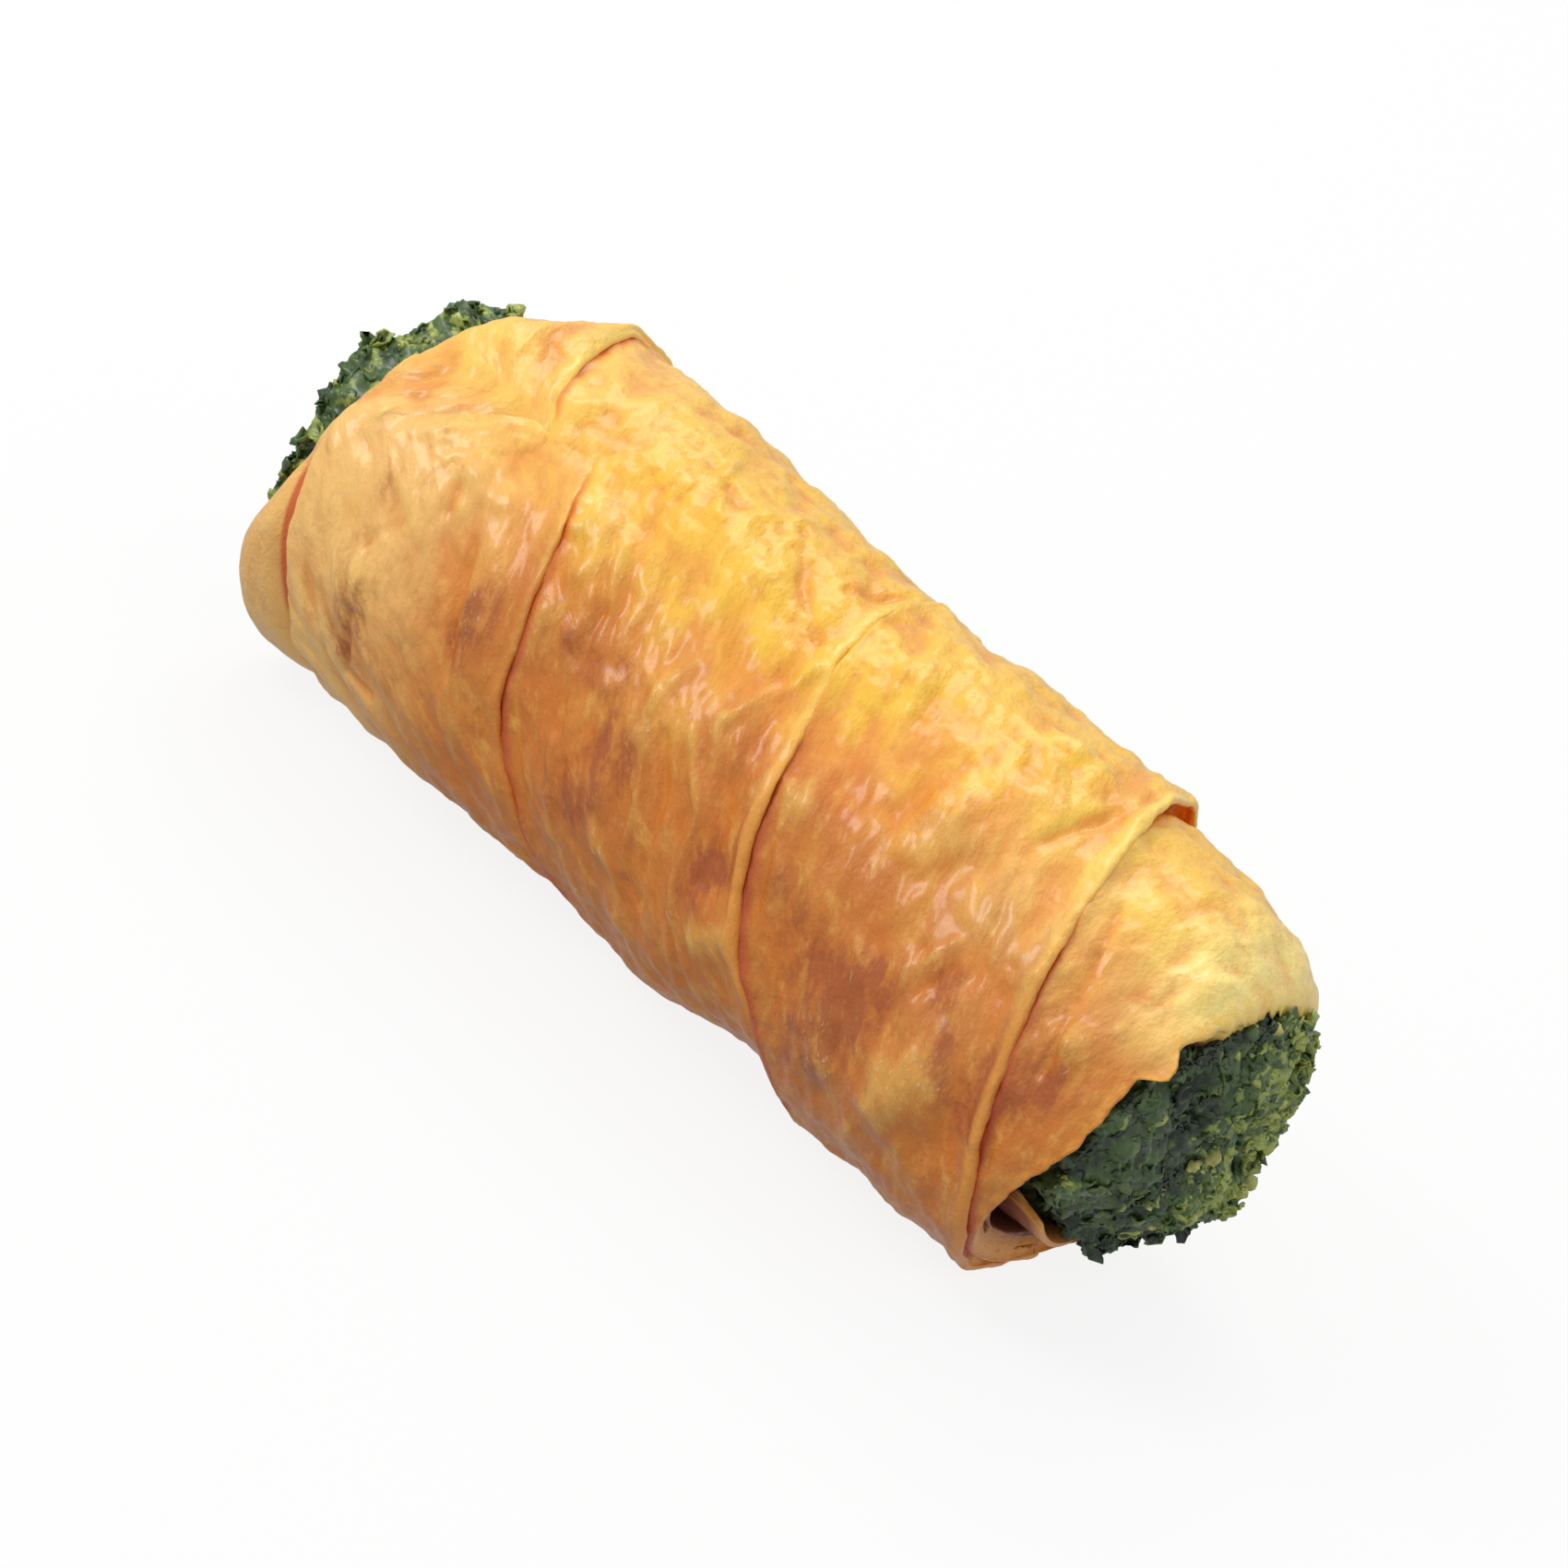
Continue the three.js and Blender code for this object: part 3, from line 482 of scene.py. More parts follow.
# brown baked patches: (x, angle, length, width, strength)
SCORCHES = [
    (-37.6, 190, 6, 9, 0.45), (-36.5, 199, 5, 7, 0.5), (-38.6, 181, 7, 7, 0.3),
    (-41, 163, 3, 6, 0.3), (-37.5, 154, 3, 5, 0.3), (31.7, 181, 5, 9, 0.8), (52.3, 161, 5, 7, 0.8),
    (10.6, 178.5, 3, 4, 0.7), (-25, 166, 6, 9, 0.7), (-24, 176, 5, 7, 0.5), (-14.4, 159, 5, 5, 0.7),
    (-9.2, 157.6, 6, 5, 0.8), (-5.9, 186, 9, 8, 0.85), (-4, 170, 7, 8, 0.7), (11, 180, 5, 7, 0.8),
    (12, 172, 5, 6, 0.6), (23.6, 175, 6, 7, 0.7), (29.4, 176, 8, 9, 0.9), (27.7, 198, 8, 9, 0.8),
    (18, 168, 6, 8, 0.5), (33.1, 173, 5, 8, 0.7), (38.5, 160, 5, 6, 0.7), (41.5, 171, 5, 6, 0.55),
    (47, 148, 5, 7, 0.55), (48.4, 166, 6, 7, 0.85), (46.6, 176, 5, 6, 0.8), (53.5, 119, 5, 5, 0.35),
    (52.4, 130, 5, 6, 0.4), (45.6, 126, 6, 6, 0.4), (-43.3, 102, 5, 5, 0.4), (-1.1, 95, 6, 4, 0.6),
    (7, 150, 6, 7, 0.5), (-30, 196, 7, 7, 0.4), (49, 190, 5, 7, 0.5), (-20, 300, 12, 12, 0.7),
    (14, 320, 14, 12, 0.6), (40, 10, 12, 12, 0.6), (-10, 20, 12, 12, 0.5), (-35, 340, 12, 12, 0.6),
    (24, 30, 8, 10, 0.5), (2, 345, 9, 8, 0.5),
]


def scorched(x, angle):
    return sum(strength * hill(x, angle, *place) for *place, strength in SCORCHES)


def fine_relief(x, angle, along, across, scorch):
    """Two layers of relief in mm: folds, blisters and waves, and then the skin's grain."""
    arc = np.radians(angle % TURN) * HALF_HEIGHT
    broad = sum(rise * line_hill(x, arc, points, width) for points, width, rise in FOLDS)
    broad += sum(rise * hill(x, angle, *place, 1.3) for *place, rise in SKIN_BLISTERS)
    bubbly = sum(hill(x, angle, *patch, 2.0) for patch in BUBBLY)
    broad = broad + 0.75 * layered(along / 8.0, across / 5.5, 3, 3)
    warp = 1.8 * noise(along / 9.0, across / 6.0, 8)
    ridge = 1 - np.abs(noise(along / 11.0, (across + warp) / 3.6, 5)) * 3.0
    wrinkled = smooth(-0.25, 0.3, noise(along / 16, across / 9, 9))
    broad += 0.2 * np.clip(ridge, -0.6, 1) * wrinkled
    busy = smooth(-0.1, 0.4, noise(along / 12, across / 8, 12) + 0.5 * scorch)
    busy = np.clip(0.7 * busy + bubbly, 0, 1.2)
    grain = 0.35 * bubbles(along / 5.2, across / 3.8, 15) * mix(0.5, 1, busy)
    grain += 0.24 * bubbles(along / 2.1, across / 1.7, 16) * busy
    grain += 0.1 * bubbles(along / 0.95, across / 0.85, 17) * np.clip(bubbly, 0, 1)
    grain += 0.08 * layered(along / 1.5, across / 1.1, 14, 2)
    return np.stack([broad, grain])


def relief_below(x, angle, scorch):
    """The fine relief of what the strip's loose end lies on: the next turn or the collar."""
    later = angle + TURN
    turn_across = strip_right(later) + edge_waver(later) - x
    turn = fine_relief(x, angle, np.radians(later) * HALF_HEIGHT, turn_across, scorch)
    ring_across = collar_edge(angle) + collar_waver(angle) - x
    ring = fine_relief(x, angle, ring_arc(angle), ring_across + COLLAR_ACROSS, scorch)
    return np.where(ring_across > 0, ring, turn)


def baked(along, across, scorch, broad):
    """How brown the dough is, 0 to 1."""
    broken = np.clip(0.8 + 0.9 * layered(along / 3.2, across / 1.8, 21, 3), 0.25, 1.5)
    mottle = smooth(0.05, 0.55, layered(along / 7.0, across / 3.4, 25, 4))
    return np.clip(scorch * broken + 0.25 * mottle + 0.15 * smooth(0.3, 0.8, broad), 0, 1)


def sheet_outline(left, right, left_height, lip_height, shut, across_samples):
    """Outline of a sheet as (x, height) arrays over the stations, rooted at its left
    and loose at its right, with a gap under that edge unless it is shut. The third
    array is 1 where a point is on the wall under the edge."""
    left, right, left_height, lip_height, shut = (
        np.asarray(v, float)[:, None] for v in (left, right, left_height, lip_height, shut)
    )
    foot = 0.75 * BURIED
    rising = np.linspace(0, math.pi / 2, 9)[None, :]
    t = np.linspace(0, 1, across_samples)[None, :]
    nose = SHEET / 2
    turn = np.linspace(math.pi / 2, -math.pi / 2, 9)[None, 1:-1]
    back = np.linspace(0, 1, 7)[None, :]
    open_floor = lip_height - mix(1.0, 1.3, back) * SHEET
    shut_floor = np.minimum(BURIED * mix(0.5, 0.8, back), lip_height - mix(1.0, 1.2, back))
    stretches = [
        (left + LEFT_ROUNDING / 2, BURIED, 0),
        (left + LEFT_ROUNDING * (1 - np.cos(rising)), mix(foot, left_height, np.sin(rising)), 0),
        (
            mix(left + LEFT_ROUNDING + 0.3, right - nose - 0.1, t),
            mix(left_height, lip_height, t**1.6) + STRIP_PUFF * np.sin(math.pi * t),
            0,
        ),
        (
            right - nose + nose * np.cos(turn),
            lip_height + nose * (np.sin(turn) - 1),
            smooth(0.1, 0.9, -np.sin(turn)),
        ),
        (right - mix(0.35, mix(UNDERCUT, 0.6, shut), back), mix(open_floor, shut_floor, shut), 1),
        (right - mix(UNDERCUT + 0.8, 1.2, shut), np.minimum(BURIED, lip_height - 1.4), 1),
    ]
    columns = zip(*(np.broadcast_arrays(*stretch) for stretch in stretches))
    return [np.concatenate(column, 1) for column in columns]


def rolled_lip(across, amount):
    """The thicker rounded edge of a sheet and the shallow hollow that runs beside it."""
    return amount * (0.4 * bell(across - 0.9, 0.8) - 0.4 * bell(across - 3.8, 1.6))


def beside(distance, width):
    """1 at a neighbouring edge, fading out over the width of the fold beside it."""
    return np.exp(-np.maximum(distance - 0.1, 0) / width)


def fillet(edge_winding, past):
    """How far the sheet rises to meet the edge that lies on it, in mm."""
    return seam_fill(edge_winding) * beside(past, 0.6) * smooth(-1.4, -0.5, past)


def edge_waver(winding):
    """How far the strip's right edge wanders from its smooth course."""
    return 0.35 * noise(winding / 9.0, seed=31) + 0.12 * noise(winding / 2.5, seed=32)


def collar_waver(angle):
    ring = np.radians(angle)
    return 0.3 * noise(np.cos(ring) * 4, np.sin(ring) * 4, 41)


def on_the_floor(points):
    points[..., 2] = np.maximum(points[..., 2], 0.0)
    return points


def covered_by(past):
    """How hidden a place is under a sheet whose edge it lies past, and how deep under it."""
    return 1 - smooth(-1.4, 0.6, past), 1 - smooth(-4, -1.5, past)


def dough_piece(name, points, angle, ring, across, h, fine, scorch, edge, crease_shade, hollow, material):
    """A piece of dough carried round the roll, with the values that its material reads."""
    x = on_the_floor(points)[..., 0]
    along = ring_arc(angle) if ring else np.radians(angle) * HALF_HEIGHT
    # 1 on the upper back, 0 down the front and underneath: partly the baked tone, partly painted shade
    # that makes the top lighter and the front and underneath darker
    gold_and_shade = np.cos(np.radians(angle - mix(68.0, 54.0, smooth(0, 20, x))))
    straw = smooth(44.0, 56.0, x) * smooth(0.35, 0.9, np.cos(np.radians(angle - 84.0)))
    shape = np.clip((fine[0] + 0.3 * fine[1] - 0.1) / 0.8, -1, 1)
    values = {
        "baked": baked(along, across, scorch, fine[0]),
        "edge": np.clip(edge, 0, 1),
        "crease_shade": np.clip(crease_shade, 0, 1),
        # painted shade inside the open end's hollow
        "hollow": np.clip(hollow, 0, 1),
        "gold_and_shade": smooth(-0.35, 0.85, gold_and_shade),
        "pale": 1 - smooth(-42.0, -20.0, x),
        "straw": np.maximum(straw, 0.4 * hill(x, angle, 40.0, 122.0, 16.0, 24.0)),
        # the material paints shade into the relief's valleys and highlight onto its tops from this value
        "height": 0.5 + 0.5 * shape,
    }
    values = {key: np.broadcast_to(value, x.shape).ravel() for key, value in values.items()}
    values["sheet"] = np.stack(np.broadcast_arrays(along, across, h), -1).reshape(-1, 3)
    faces = sweep_faces(*x.shape, ring)
    return add_mesh(name, points.reshape(-1, 3), faces, material, values)


def strip_turn(name, start, stop, material):
    """One stretch of the wound strip, cut underneath where nobody looks."""
    windings = np.linspace(start, stop, int((stop - start) / ARC_STEP))
    right = np.minimum(strip_right(windings) + edge_waver(windings), near_rim_curve(windings) + 0.5)
    left = strip_left(windings) + 0.4 * noise(windings / 7.0, seed=33)
    lip = strip_lip_height(windings) + 0.2 * noise(windings / 8.0, seed=34)
    shut = np.maximum(pressed(windings), 1 - lip_opening(windings))
    width = int(np.max(right - left) / GRID)
    x, h, wall = sheet_outline(left, right, strip_left_height(windings), lip, shut, width)
    emerging = 1 - smooth(0, LOOSE_END_RAMP, windings - STRIP_START)
    h = h - (LOOSE_END_DEPTH * emerging)[:, None]
    winding = np.repeat(windings[:, None], x.shape[1], 1)
    slant = 1 - np.clip((winding - STRIP_START) / LOOSE_END_FADE, 0, 1)
    angle = winding + slant * (loose_end(x) - STRIP_START)
    along = np.radians(angle) * HALF_HEIGHT
    across = right[:, None] - x
    roll = strip_roll(windings)[:, None]
    above = flap_winding(0.0, winding - TURN)
    into_flap = flap_winding(x, winding - TURN) - STRIP_START
    under_flap = smooth(0.6 * LOOSE_END_RAMP, LOOSE_END_RAMP, into_flap)
    past_strip = x - strip_right(above) - edge_waver(above)
    past_collar = np.where(winding > TURN, x - collar_edge(angle) - collar_waver(angle), 99.0)
    (strip_hides, strip_deep), (collar_hides, collar_deep) = map(covered_by, (past_strip, past_collar))
    hidden = np.maximum(strip_hides * under_flap, collar_hides)
    deep = np.maximum(strip_deep * under_flap, collar_deep)
    dip = HIDDEN_DIP * hidden + DEEP_DIP * deep - fillet(above, past_strip) * under_flap
    # painted shade: the crease beside an edge lying on this sheet, beside the collar's edge, and on the
    # wall under this sheet's own edge
    crease_shade = seam_shade(above) * beside(past_strip, seam_width(above)) * under_flap
    crease_shade = crease_shade * smooth(-1.2, -0.4, past_strip)
    crease_shade = np.maximum(crease_shade, collar_seam_shade(angle) * beside(past_collar, 0.6))
    crease_shade = np.maximum(crease_shade, seam_shade(winding) * wall)
    shown = smooth(-1.8, -1.0, h)
    scorch = scorched(x, angle)
    fine = fine_relief(x, angle, along, across, scorch) * (1 - hidden)
    if start == STRIP_START:
        own = smooth(0.5 * LOOSE_END_RAMP, 1.4 * LOOSE_END_RAMP, winding - STRIP_START)
        fine = mix(relief_below(x, angle, scorch), fine, own)
    fine[0] += rolled_lip(across, roll) * smooth(0, LOOSE_END_RAMP, winding - STRIP_START)
    raised = shown * (relief(x, angle) + fine.sum(0) - dip)
    radius = section_radius(x, angle) + h + raised - curl(x, angle)
    # pale edge of the sheet: partly its paler bake, partly painted light shining through the thin edge
    edge = bell(across - 0.5, 0.75) * lip_paleness(winding) * (1 - wall)
    points = at(x, angle, radius)
    return dough_piece(
        name, points, angle, False, across, h, fine, scorch, edge, crease_shade, 0.0, material
    )


def collar_ring(material):
    """The first sheet at the far end, with its own lip and the valley beside the flap."""
    angles = np.linspace(0, TURN, RING_STATIONS, endpoint=False)
    right = collar_edge(angles) + collar_waver(angles)
    heights = collar_rim_height(angles), collar_lip_height(angles)
    x, h, wall = sheet_outline(far_rim(angles), right, *heights, 1 + 0 * angles, 60)
    angle = np.repeat(angles[:, None], x.shape[1], 1)
    across = right[:, None] - x
    shown = smooth(-1.8, -1.0, h)
    flap = strip_left(flap_winding(EAR_X, angle))
    beside_flap = within(160, 172, 250, 290, angle)
    bottom = flap - EAR_VALLEY_OFFSET
    valley = EAR_VALLEY * beside_flap * np.where(x < bottom, bell(x - bottom, EAR_VALLEY_WIDTH), 1)
    scorch = scorched(x, angle)
    roughness = ring_join(angle) * mix(1.0, 0.3, beside_flap)
    placed = across + COLLAR_ACROSS
    fine = roughness * fine_relief(x, angle, ring_arc(angle), placed, scorch)
    fine[0] += roughness * rolled_lip(across, 0.6)
    raised = shown * (relief(x, angle) + fine.sum(0) - valley)
    to_hole = h * smooth(1.7, 2.4, -h)
    radius = section_radius(x, angle) + h + to_hole + raised - curl(x, angle)
    radius = np.maximum(radius, hole_radius(x) + 0.1)
    # painted shade in the valley along the flap's side and on the wall under the collar's edge
    ear_line = within(165, 174, 228, 260, angle)
    crease_shade = ear_line * (1 - smooth(0.5, 1.6, flap - x))
    crease_shade = np.maximum(crease_shade, collar_seam_shade(angle) * wall)
    edge = 0.8 * bell(across - 0.5, 0.7) * (1 - wall)
    edge = np.maximum(edge, 0.7 * bell(x - far_rim(angle), 0.8)) * (1 - ear_line)
    points = at(x, angle, radius)
    return dough_piece(
        "dough_collar", points, angle, True, placed, h, fine, scorch, edge, crease_shade, 0.0, material
    )


def hole_radius(x):
    return GAP + mix(PLUG_FAR_RADIUS, PLUG_RADIUS, smooth(*PLUG_FLARE, x))


def sunk(x, angle, radius, share):
    """Points at a distance from the axis, moved by a share of the filling's sag."""
    moved = share * smooth(20, 54, x)
    points = at(x, angle, radius)
    points[..., 1] += NEAR_SAG[0] * moved
    points[..., 2] += NEAR_SAG[1] * moved
    return points


# the open end of the dough between the outer skin (share 1) and the hole (share 0), by
# angle: how far the hollow goes in and between which shares, and how far the dough
# inside the skin lies back
hollow_depth = around([(0, 0), (182, 0), (188, 5), (195, 8), (242, 8), (258, 5), (269, 0)])
hollow_inner = around([
    (0, 0.6), (183, 0.6), (190, 0.2), (196, -0.1), (206, -0.1), (222, 0.17), (300, 0.17),
])
hollow_outer = around([
    (0, 0.66), (196, 0.66), (208, 0.52), (228, 0.48), (240, 0.42), (250, 0.35), (258, 0.27),
    (266, 0.2),
])
# a narrow slit in the open end: its share, half its width as a share, and its depth
SLIT_SHARE, SLIT_HALF, SLIT_DEPTH = 0.59, 0.045, 4.0
INNER_START, HOLE_END = 28.0, 20.0
front_recess = around([
    (0, 0), (118, 0), (140, 2.2), (180, 3), (192, 2.2), (200, 1), (212, 0.2), (230, 0),
])
# the innermost leaf stands out round the lower front of the filling, up to this x
inner_leaf = around([(0, 50), (206, 50), (222, 53.6), (262, 53), (280, 51)])


def end_depth(share, angle):
    """How far behind the rim the open end lies, from the hole to the outer skin."""
    inner, outer = hollow_inner(angle), hollow_outer(angle)
    hollow = within(inner, inner + 0.08, outer - 0.07, outer + 0.01, share)
    inside_skin = 1 - smooth(0.88, 0.94, share)
    slit = 1 - smooth(SLIT_HALF - 0.02, SLIT_HALF + 0.01, np.abs(share - SLIT_SHARE))
    slit = slit * within(207, 211, 224, 228, angle)
    deepest = np.maximum(hollow_depth(angle) * hollow, SLIT_DEPTH * slit)
    return deepest + front_recess(angle) * inside_skin


def inner_layers(material):
    """The tube of inner dough: bare at the near end, where its leaves show."""
    angles = np.linspace(0, TURN, RING_STATIONS, endpoint=False)[:, None]
    join, place = ring_join(angles), ring_arc(angles)
    calm = 1 - 0.7 * within(182, 195, 255, 275, angles)
    ragged = 0.4 * layered(place / 2.8, 0.0, 51, 3) + 0.12 * noise(place / 0.36, seed=52)
    near = near_rim(angles) + join * calm * ragged
    outer_x = mix(INNER_START, near, np.linspace(0, 1, 92)[None, :] ** 0.92)
    covered = 1 - smooth(30, 36, outer_x)
    h = mix(-0.15, -1.3, covered)
    across = INNER_ACROSS - outer_x
    last = np.where(angles < 270, angles + 2 * TURN, angles + TURN)
    past_strip = outer_x - strip_right(last) - edge_waver(last)
    shown = 1 - covered_by(past_strip)[0]
    scorch = scorched(outer_x, angles)
    fine = join * shown * fine_relief(outer_x, angles, place, across, scorch)
    thin = 1 - 0.6 * smooth(near - 2.5, near, outer_x)
    dip = HIDDEN_DIP * (1 - shown) - fillet(last, past_strip)
    raised = (1 - covered) * (relief(outer_x, angles) + fine.sum(0) - dip) * thin
    outer = at(outer_x, angles, section_radius(outer_x, angles) + h + raised - curl(outer_x, angles))
    edge_radius = section_radius(near, angles) - 0.15 + raised[:, -1:] - curl(near, angles)
    wall = np.maximum(edge_radius - hole_radius(near), 0.5)
    share = 1 - np.linspace(0, 1, 48)[None, 1:]
    rounding = 0.35 * np.clip((1 - share) * wall / 0.5, 0, 1) ** 0.5
    recess = 0.3 + 0.2 * wall * np.clip((1 - share) * wall / 2.0, 0, 1)
    depth = rounding + recess * (1 - share) + end_depth(share, angles)
    standing = within(205, 220, 266, 280, angles)
    leaf = (1 - smooth(0.11, 0.16, share)) * standing
    depth = mix(depth, near - inner_leaf(angles) + rounding * (1 - share), leaf)
    face_x = near - depth
    face = sunk(face_x, angles, mix(hole_radius(near), edge_radius, share), 1 - share)
    inside_x = mix(face_x[:, -1:], HOLE_END, np.linspace(0, 1, 10)[None, 1:])
    inside = sunk(inside_x, angles, hole_radius(inside_x), 1.0)
    back = at(np.full_like(near, INNER_START), angles, hole_radius(INNER_START) + 1.5)
    points = np.concatenate([outer, face, inside, back], 1)
    angle = np.repeat(angles, points.shape[1], 1)

    def joined(skin, end, buried):
        """One array over the outer skin, the open end and the buried inside."""
        inside_shape = (RING_STATIONS, inside.shape[1] + back.shape[1])
        return np.concatenate([skin, end + 0 * depth, np.full(inside_shape, buried)], 1)

    # painted shade in the crease beside the last turn's edge
    seam_line_shade = seam_shade(last) * beside(past_strip, seam_width(last))
    # painted shade: the walls deep in the open end's hollow, and the inner leaf's wall that faces it,
    # are painted dark
    deep = smooth(0.6, 1.6, depth)
    leaf_wall_shade = smooth(0.1, 0.13, share) * smooth(0.6, 1.6, inner_leaf(angles) - face_x)
    leaf_wall_shade = leaf_wall_shade * standing * smooth(1.0, 4.0, hollow_depth(angles)) * (share < 0.45)
    deep = np.maximum(deep, leaf_wall_shade)
    flaky = 0.5 + 0.8 * smooth(-0.2, 0.3, layered(angles / 4.0, outer_x / 1.2, 55, 2))
    crust = 0.9 * bell(near - outer_x, 1.3) * flaky
    rest = points.shape[1] - outer_x.shape[1]
    further = across[:, -1:] - 0.14 * np.arange(1, rest + 1)[None, :]
    return dough_piece(
        "dough_inner", points, angle, True, np.concatenate([across, further], 1), 0.0,
        np.stack([joined(layer, 0.1, 0.1) for layer in fine]), joined(scorch, 0.0, 0.0),
        joined(crust, 0.8 * (1 - deep), 0.0), joined(seam_line_shade, 0.0, 0.0), joined(0 * seam_line_shade, deep, 1.0),
        material,
    )


# ---------- materials ----------
def srgb(red, green, blue):
    """A colour given as 0 to 255 display values, for a shader."""
    def linear(v):
        v /= 255
        return v / 12.92 if v <= 0.04045 else ((v + 0.055) / 1.055) ** 2.4

    return (linear(red), linear(green), linear(blue), 1.0)


class Nodes:
    """A short way to lay out a material's nodes; inputs are (socket, value) pairs."""

    def __init__(self, name):
        self.material = bpy.data.materials.new(name)
        self.material.use_nodes = True
        self.tree = self.material.node_tree
        self.shader = self.tree.nodes["Principled BSDF"]

    def put(self, node, *inputs):
        for key, value in inputs:
            if isinstance(value, bpy.types.NodeSocket):
                self.tree.links.new(value, node.inputs[key])
            else:
                node.inputs[key].default_value = value

    def add(self, kind, *inputs, **settings):
        node = self.tree.nodes.new("ShaderNode" + kind)
        for key, value in settings.items():
            setattr(node, key, value)
        self.put(node, *inputs)
        return node

    def attribute(self, name, output="Fac"):
        return self.add("Attribute", attribute_name=name).outputs[output]

    def mix(self, factor, a, b):
        """Two colours mixed, each a socket or display values from 0 to 255."""
        a, b = (srgb(*c) if isinstance(c, tuple) else c for c in (a, b))
        return self.add("Mix", (0, factor), (6, a), (7, b), data_type="RGBA").outputs[2]

    def math(self, operation, a, b, clamp=False):
        return self.add("Math", (0, a), (1, b), operation=operation, use_clamp=clamp).outputs[0]

    def ramp(self, factor, low, high, to_low=0.0, to_high=1.0):
        names = ("Value", "From Min", "From Max", "To Min", "To Max")
        inputs = zip(names, (factor, low, high, to_low, to_high))
        return self.add("MapRange", *inputs, interpolation_type="SMOOTHSTEP").outputs["Result"]

    def noise(self, vector, scale, detail=3.0, roughness=0.55):
        """Noise with a scale of its own along each axis."""
        scaled = self.add("Mapping", ("Vector", vector), ("Scale", scale)).outputs["Vector"]
        inputs = (("Vector", scaled), ("Scale", 1.0), ("Detail", detail), ("Roughness", roughness))
        return self.add("TexNoise", *inputs).outputs["Fac"]

    def mottle(self):
        """Noise about 1 mm across that sits still on the piece."""
        return self.noise(self.add("TexCoord").outputs["Object"], (900, 900, 900))

    def finish(self, colour, constants, rough=None, strength=0.6, distance=0.0003):
        """Sets the shader's colour and constants, and a bump where it is rough."""
        self.put(self.shader, ("Base Color", colour), *constants.items())
        if rough is not None:
            bump = self.add("Bump", ("Strength", strength), ("Distance", distance), ("Height", rough))
            self.put(self.shader, ("Normal", bump.outputs["Normal"]))
        return self.material


def dough_material():
    n = Nodes("baked_dough")
    sheet = n.attribute("sheet", "Vector")
    streaks = n.noise(sheet, (0.2, 0.6, 1.0), 4.0)
    blotch = n.noise(sheet, (0.4, 0.55, 1.0), 4.0, 0.65)
    fine = n.noise(sheet, (1.4, 2.1, 1.4), 3.0, 0.6)
    cloud = n.noise(sheet, (0.12, 0.2, 1.0), 3.0, 0.5)
    height, gold_and_shade, pale = (n.attribute(key) for key in ("height", "gold_and_shade", "pale"))
    # the top-to-bottom gradient is partly baked tone and partly painted shade: lighter and yellower on
    # top, darker and browner down the front and underneath
    gold_and_shade_here = n.math("ADD", gold_and_shade, n.ramp(cloud, 0.35, 0.65, -0.18, 0.18), clamp=True)
    pale_here = n.math("MULTIPLY", pale, n.ramp(gold_and_shade, 0.3, 0.95, 0.9, 0.32))
    brown = n.math("MULTIPLY", n.attribute("baked"), n.ramp(fine, 0.3, 0.6, 0.7, 1.15))
    burnt = n.mix(n.ramp(gold_and_shade, 0.15, 0.8), (168, 84, 42), (230, 138, 44))
    # painted highlight: small near-white specks on the relief's tops, standing for glints
    painted_glints = n.math("MULTIPLY", n.ramp(fine, 0.6, 0.7), n.ramp(height, 0.5, 0.8, 0.0, 0.3))
    # lip colour for the pale edges: the rims and cut ends are paler dough, and along the strip's thin
    # edges it is partly paler bake and partly painted light shining through
    lip = n.mix(gold_and_shade, (236, 160, 66), (255, 216, 104))
    # crease colours are painted shade: dark red-brown low down, and bright saturated orange higher up
    # where it stands for light shining through the thin dough
    fold = n.mix(n.ramp(gold_and_shade, 0.0, 0.6), (198, 90, 46), (224, 118, 40))
    fold = n.mix(n.ramp(gold_and_shade, 0.6, 1.0), fold, (252, 158, 44))
    fold = n.mix(n.math("MULTIPLY", pale, 0.7), fold, (214, 100, 40))
    colour = (207, 122, 46)
    for share, layer in (
        (n.ramp(gold_and_shade_here, 0.0, 0.55), (232, 156, 60)),
        (n.ramp(gold_and_shade_here, 0.45, 0.95), (243, 190, 56)),
        (pale_here, (255, 204, 122)),
        (n.math("MULTIPLY", n.attribute("straw"), 0.9), (255, 232, 142)),
        # painted shade in the relief's valleys, a deeper orange, and painted highlight on its tops
        (n.ramp(height, 0.52, 0.18, 0.0, 0.55), (222, 124, 36)),
        (n.ramp(height, 0.6, 0.95, 0.0, 0.35), (250, 210, 108)),
        (n.ramp(streaks, 0.5, 0.7, 0.0, 0.2), (244, 197, 98)),
        (n.ramp(streaks, 0.48, 0.3, 0.0, 0.2), (210, 118, 46)),
        (n.ramp(blotch, 0.52, 0.72, 0.0, 0.3), (250, 208, 104)),
        (n.ramp(blotch, 0.47, 0.28, 0.0, 0.34), (212, 116, 38)),
        (n.ramp(brown, 0.12, 0.95, 0.0, 0.8), burnt),
        (painted_glints, (255, 236, 196)),
        (n.ramp(n.attribute("edge"), 0.1, 0.9, 0.0, 0.8), lip),
        (n.ramp(n.attribute("crease_shade"), 0.1, 0.9, 0.0, 0.95), fold),
        # painted shade inside the open end's hollow
        (n.attribute("hollow"), (138, 82, 64)),
    ):
        colour = n.mix(share, colour, layer)
    n.put(n.shader, ("Roughness", n.ramp(streaks, 0.3, 0.7, 0.38, 0.5)))
    rough = n.math("ADD", n.math("MULTIPLY", blotch, 0.4), n.math("MULTIPLY", fine, 0.6))
    constants = {
        "Specular IOR Level": 0.25,
        "Subsurface Weight": 0.08,
        "Subsurface Radius": (1.0, 0.45, 0.2),
        "Subsurface Scale": 0.0009,
        "Coat Weight": 0.45,
        "Coat Roughness": 0.22,
    }
    return n.finish(colour, constants, rough, 0.7, 0.0005)


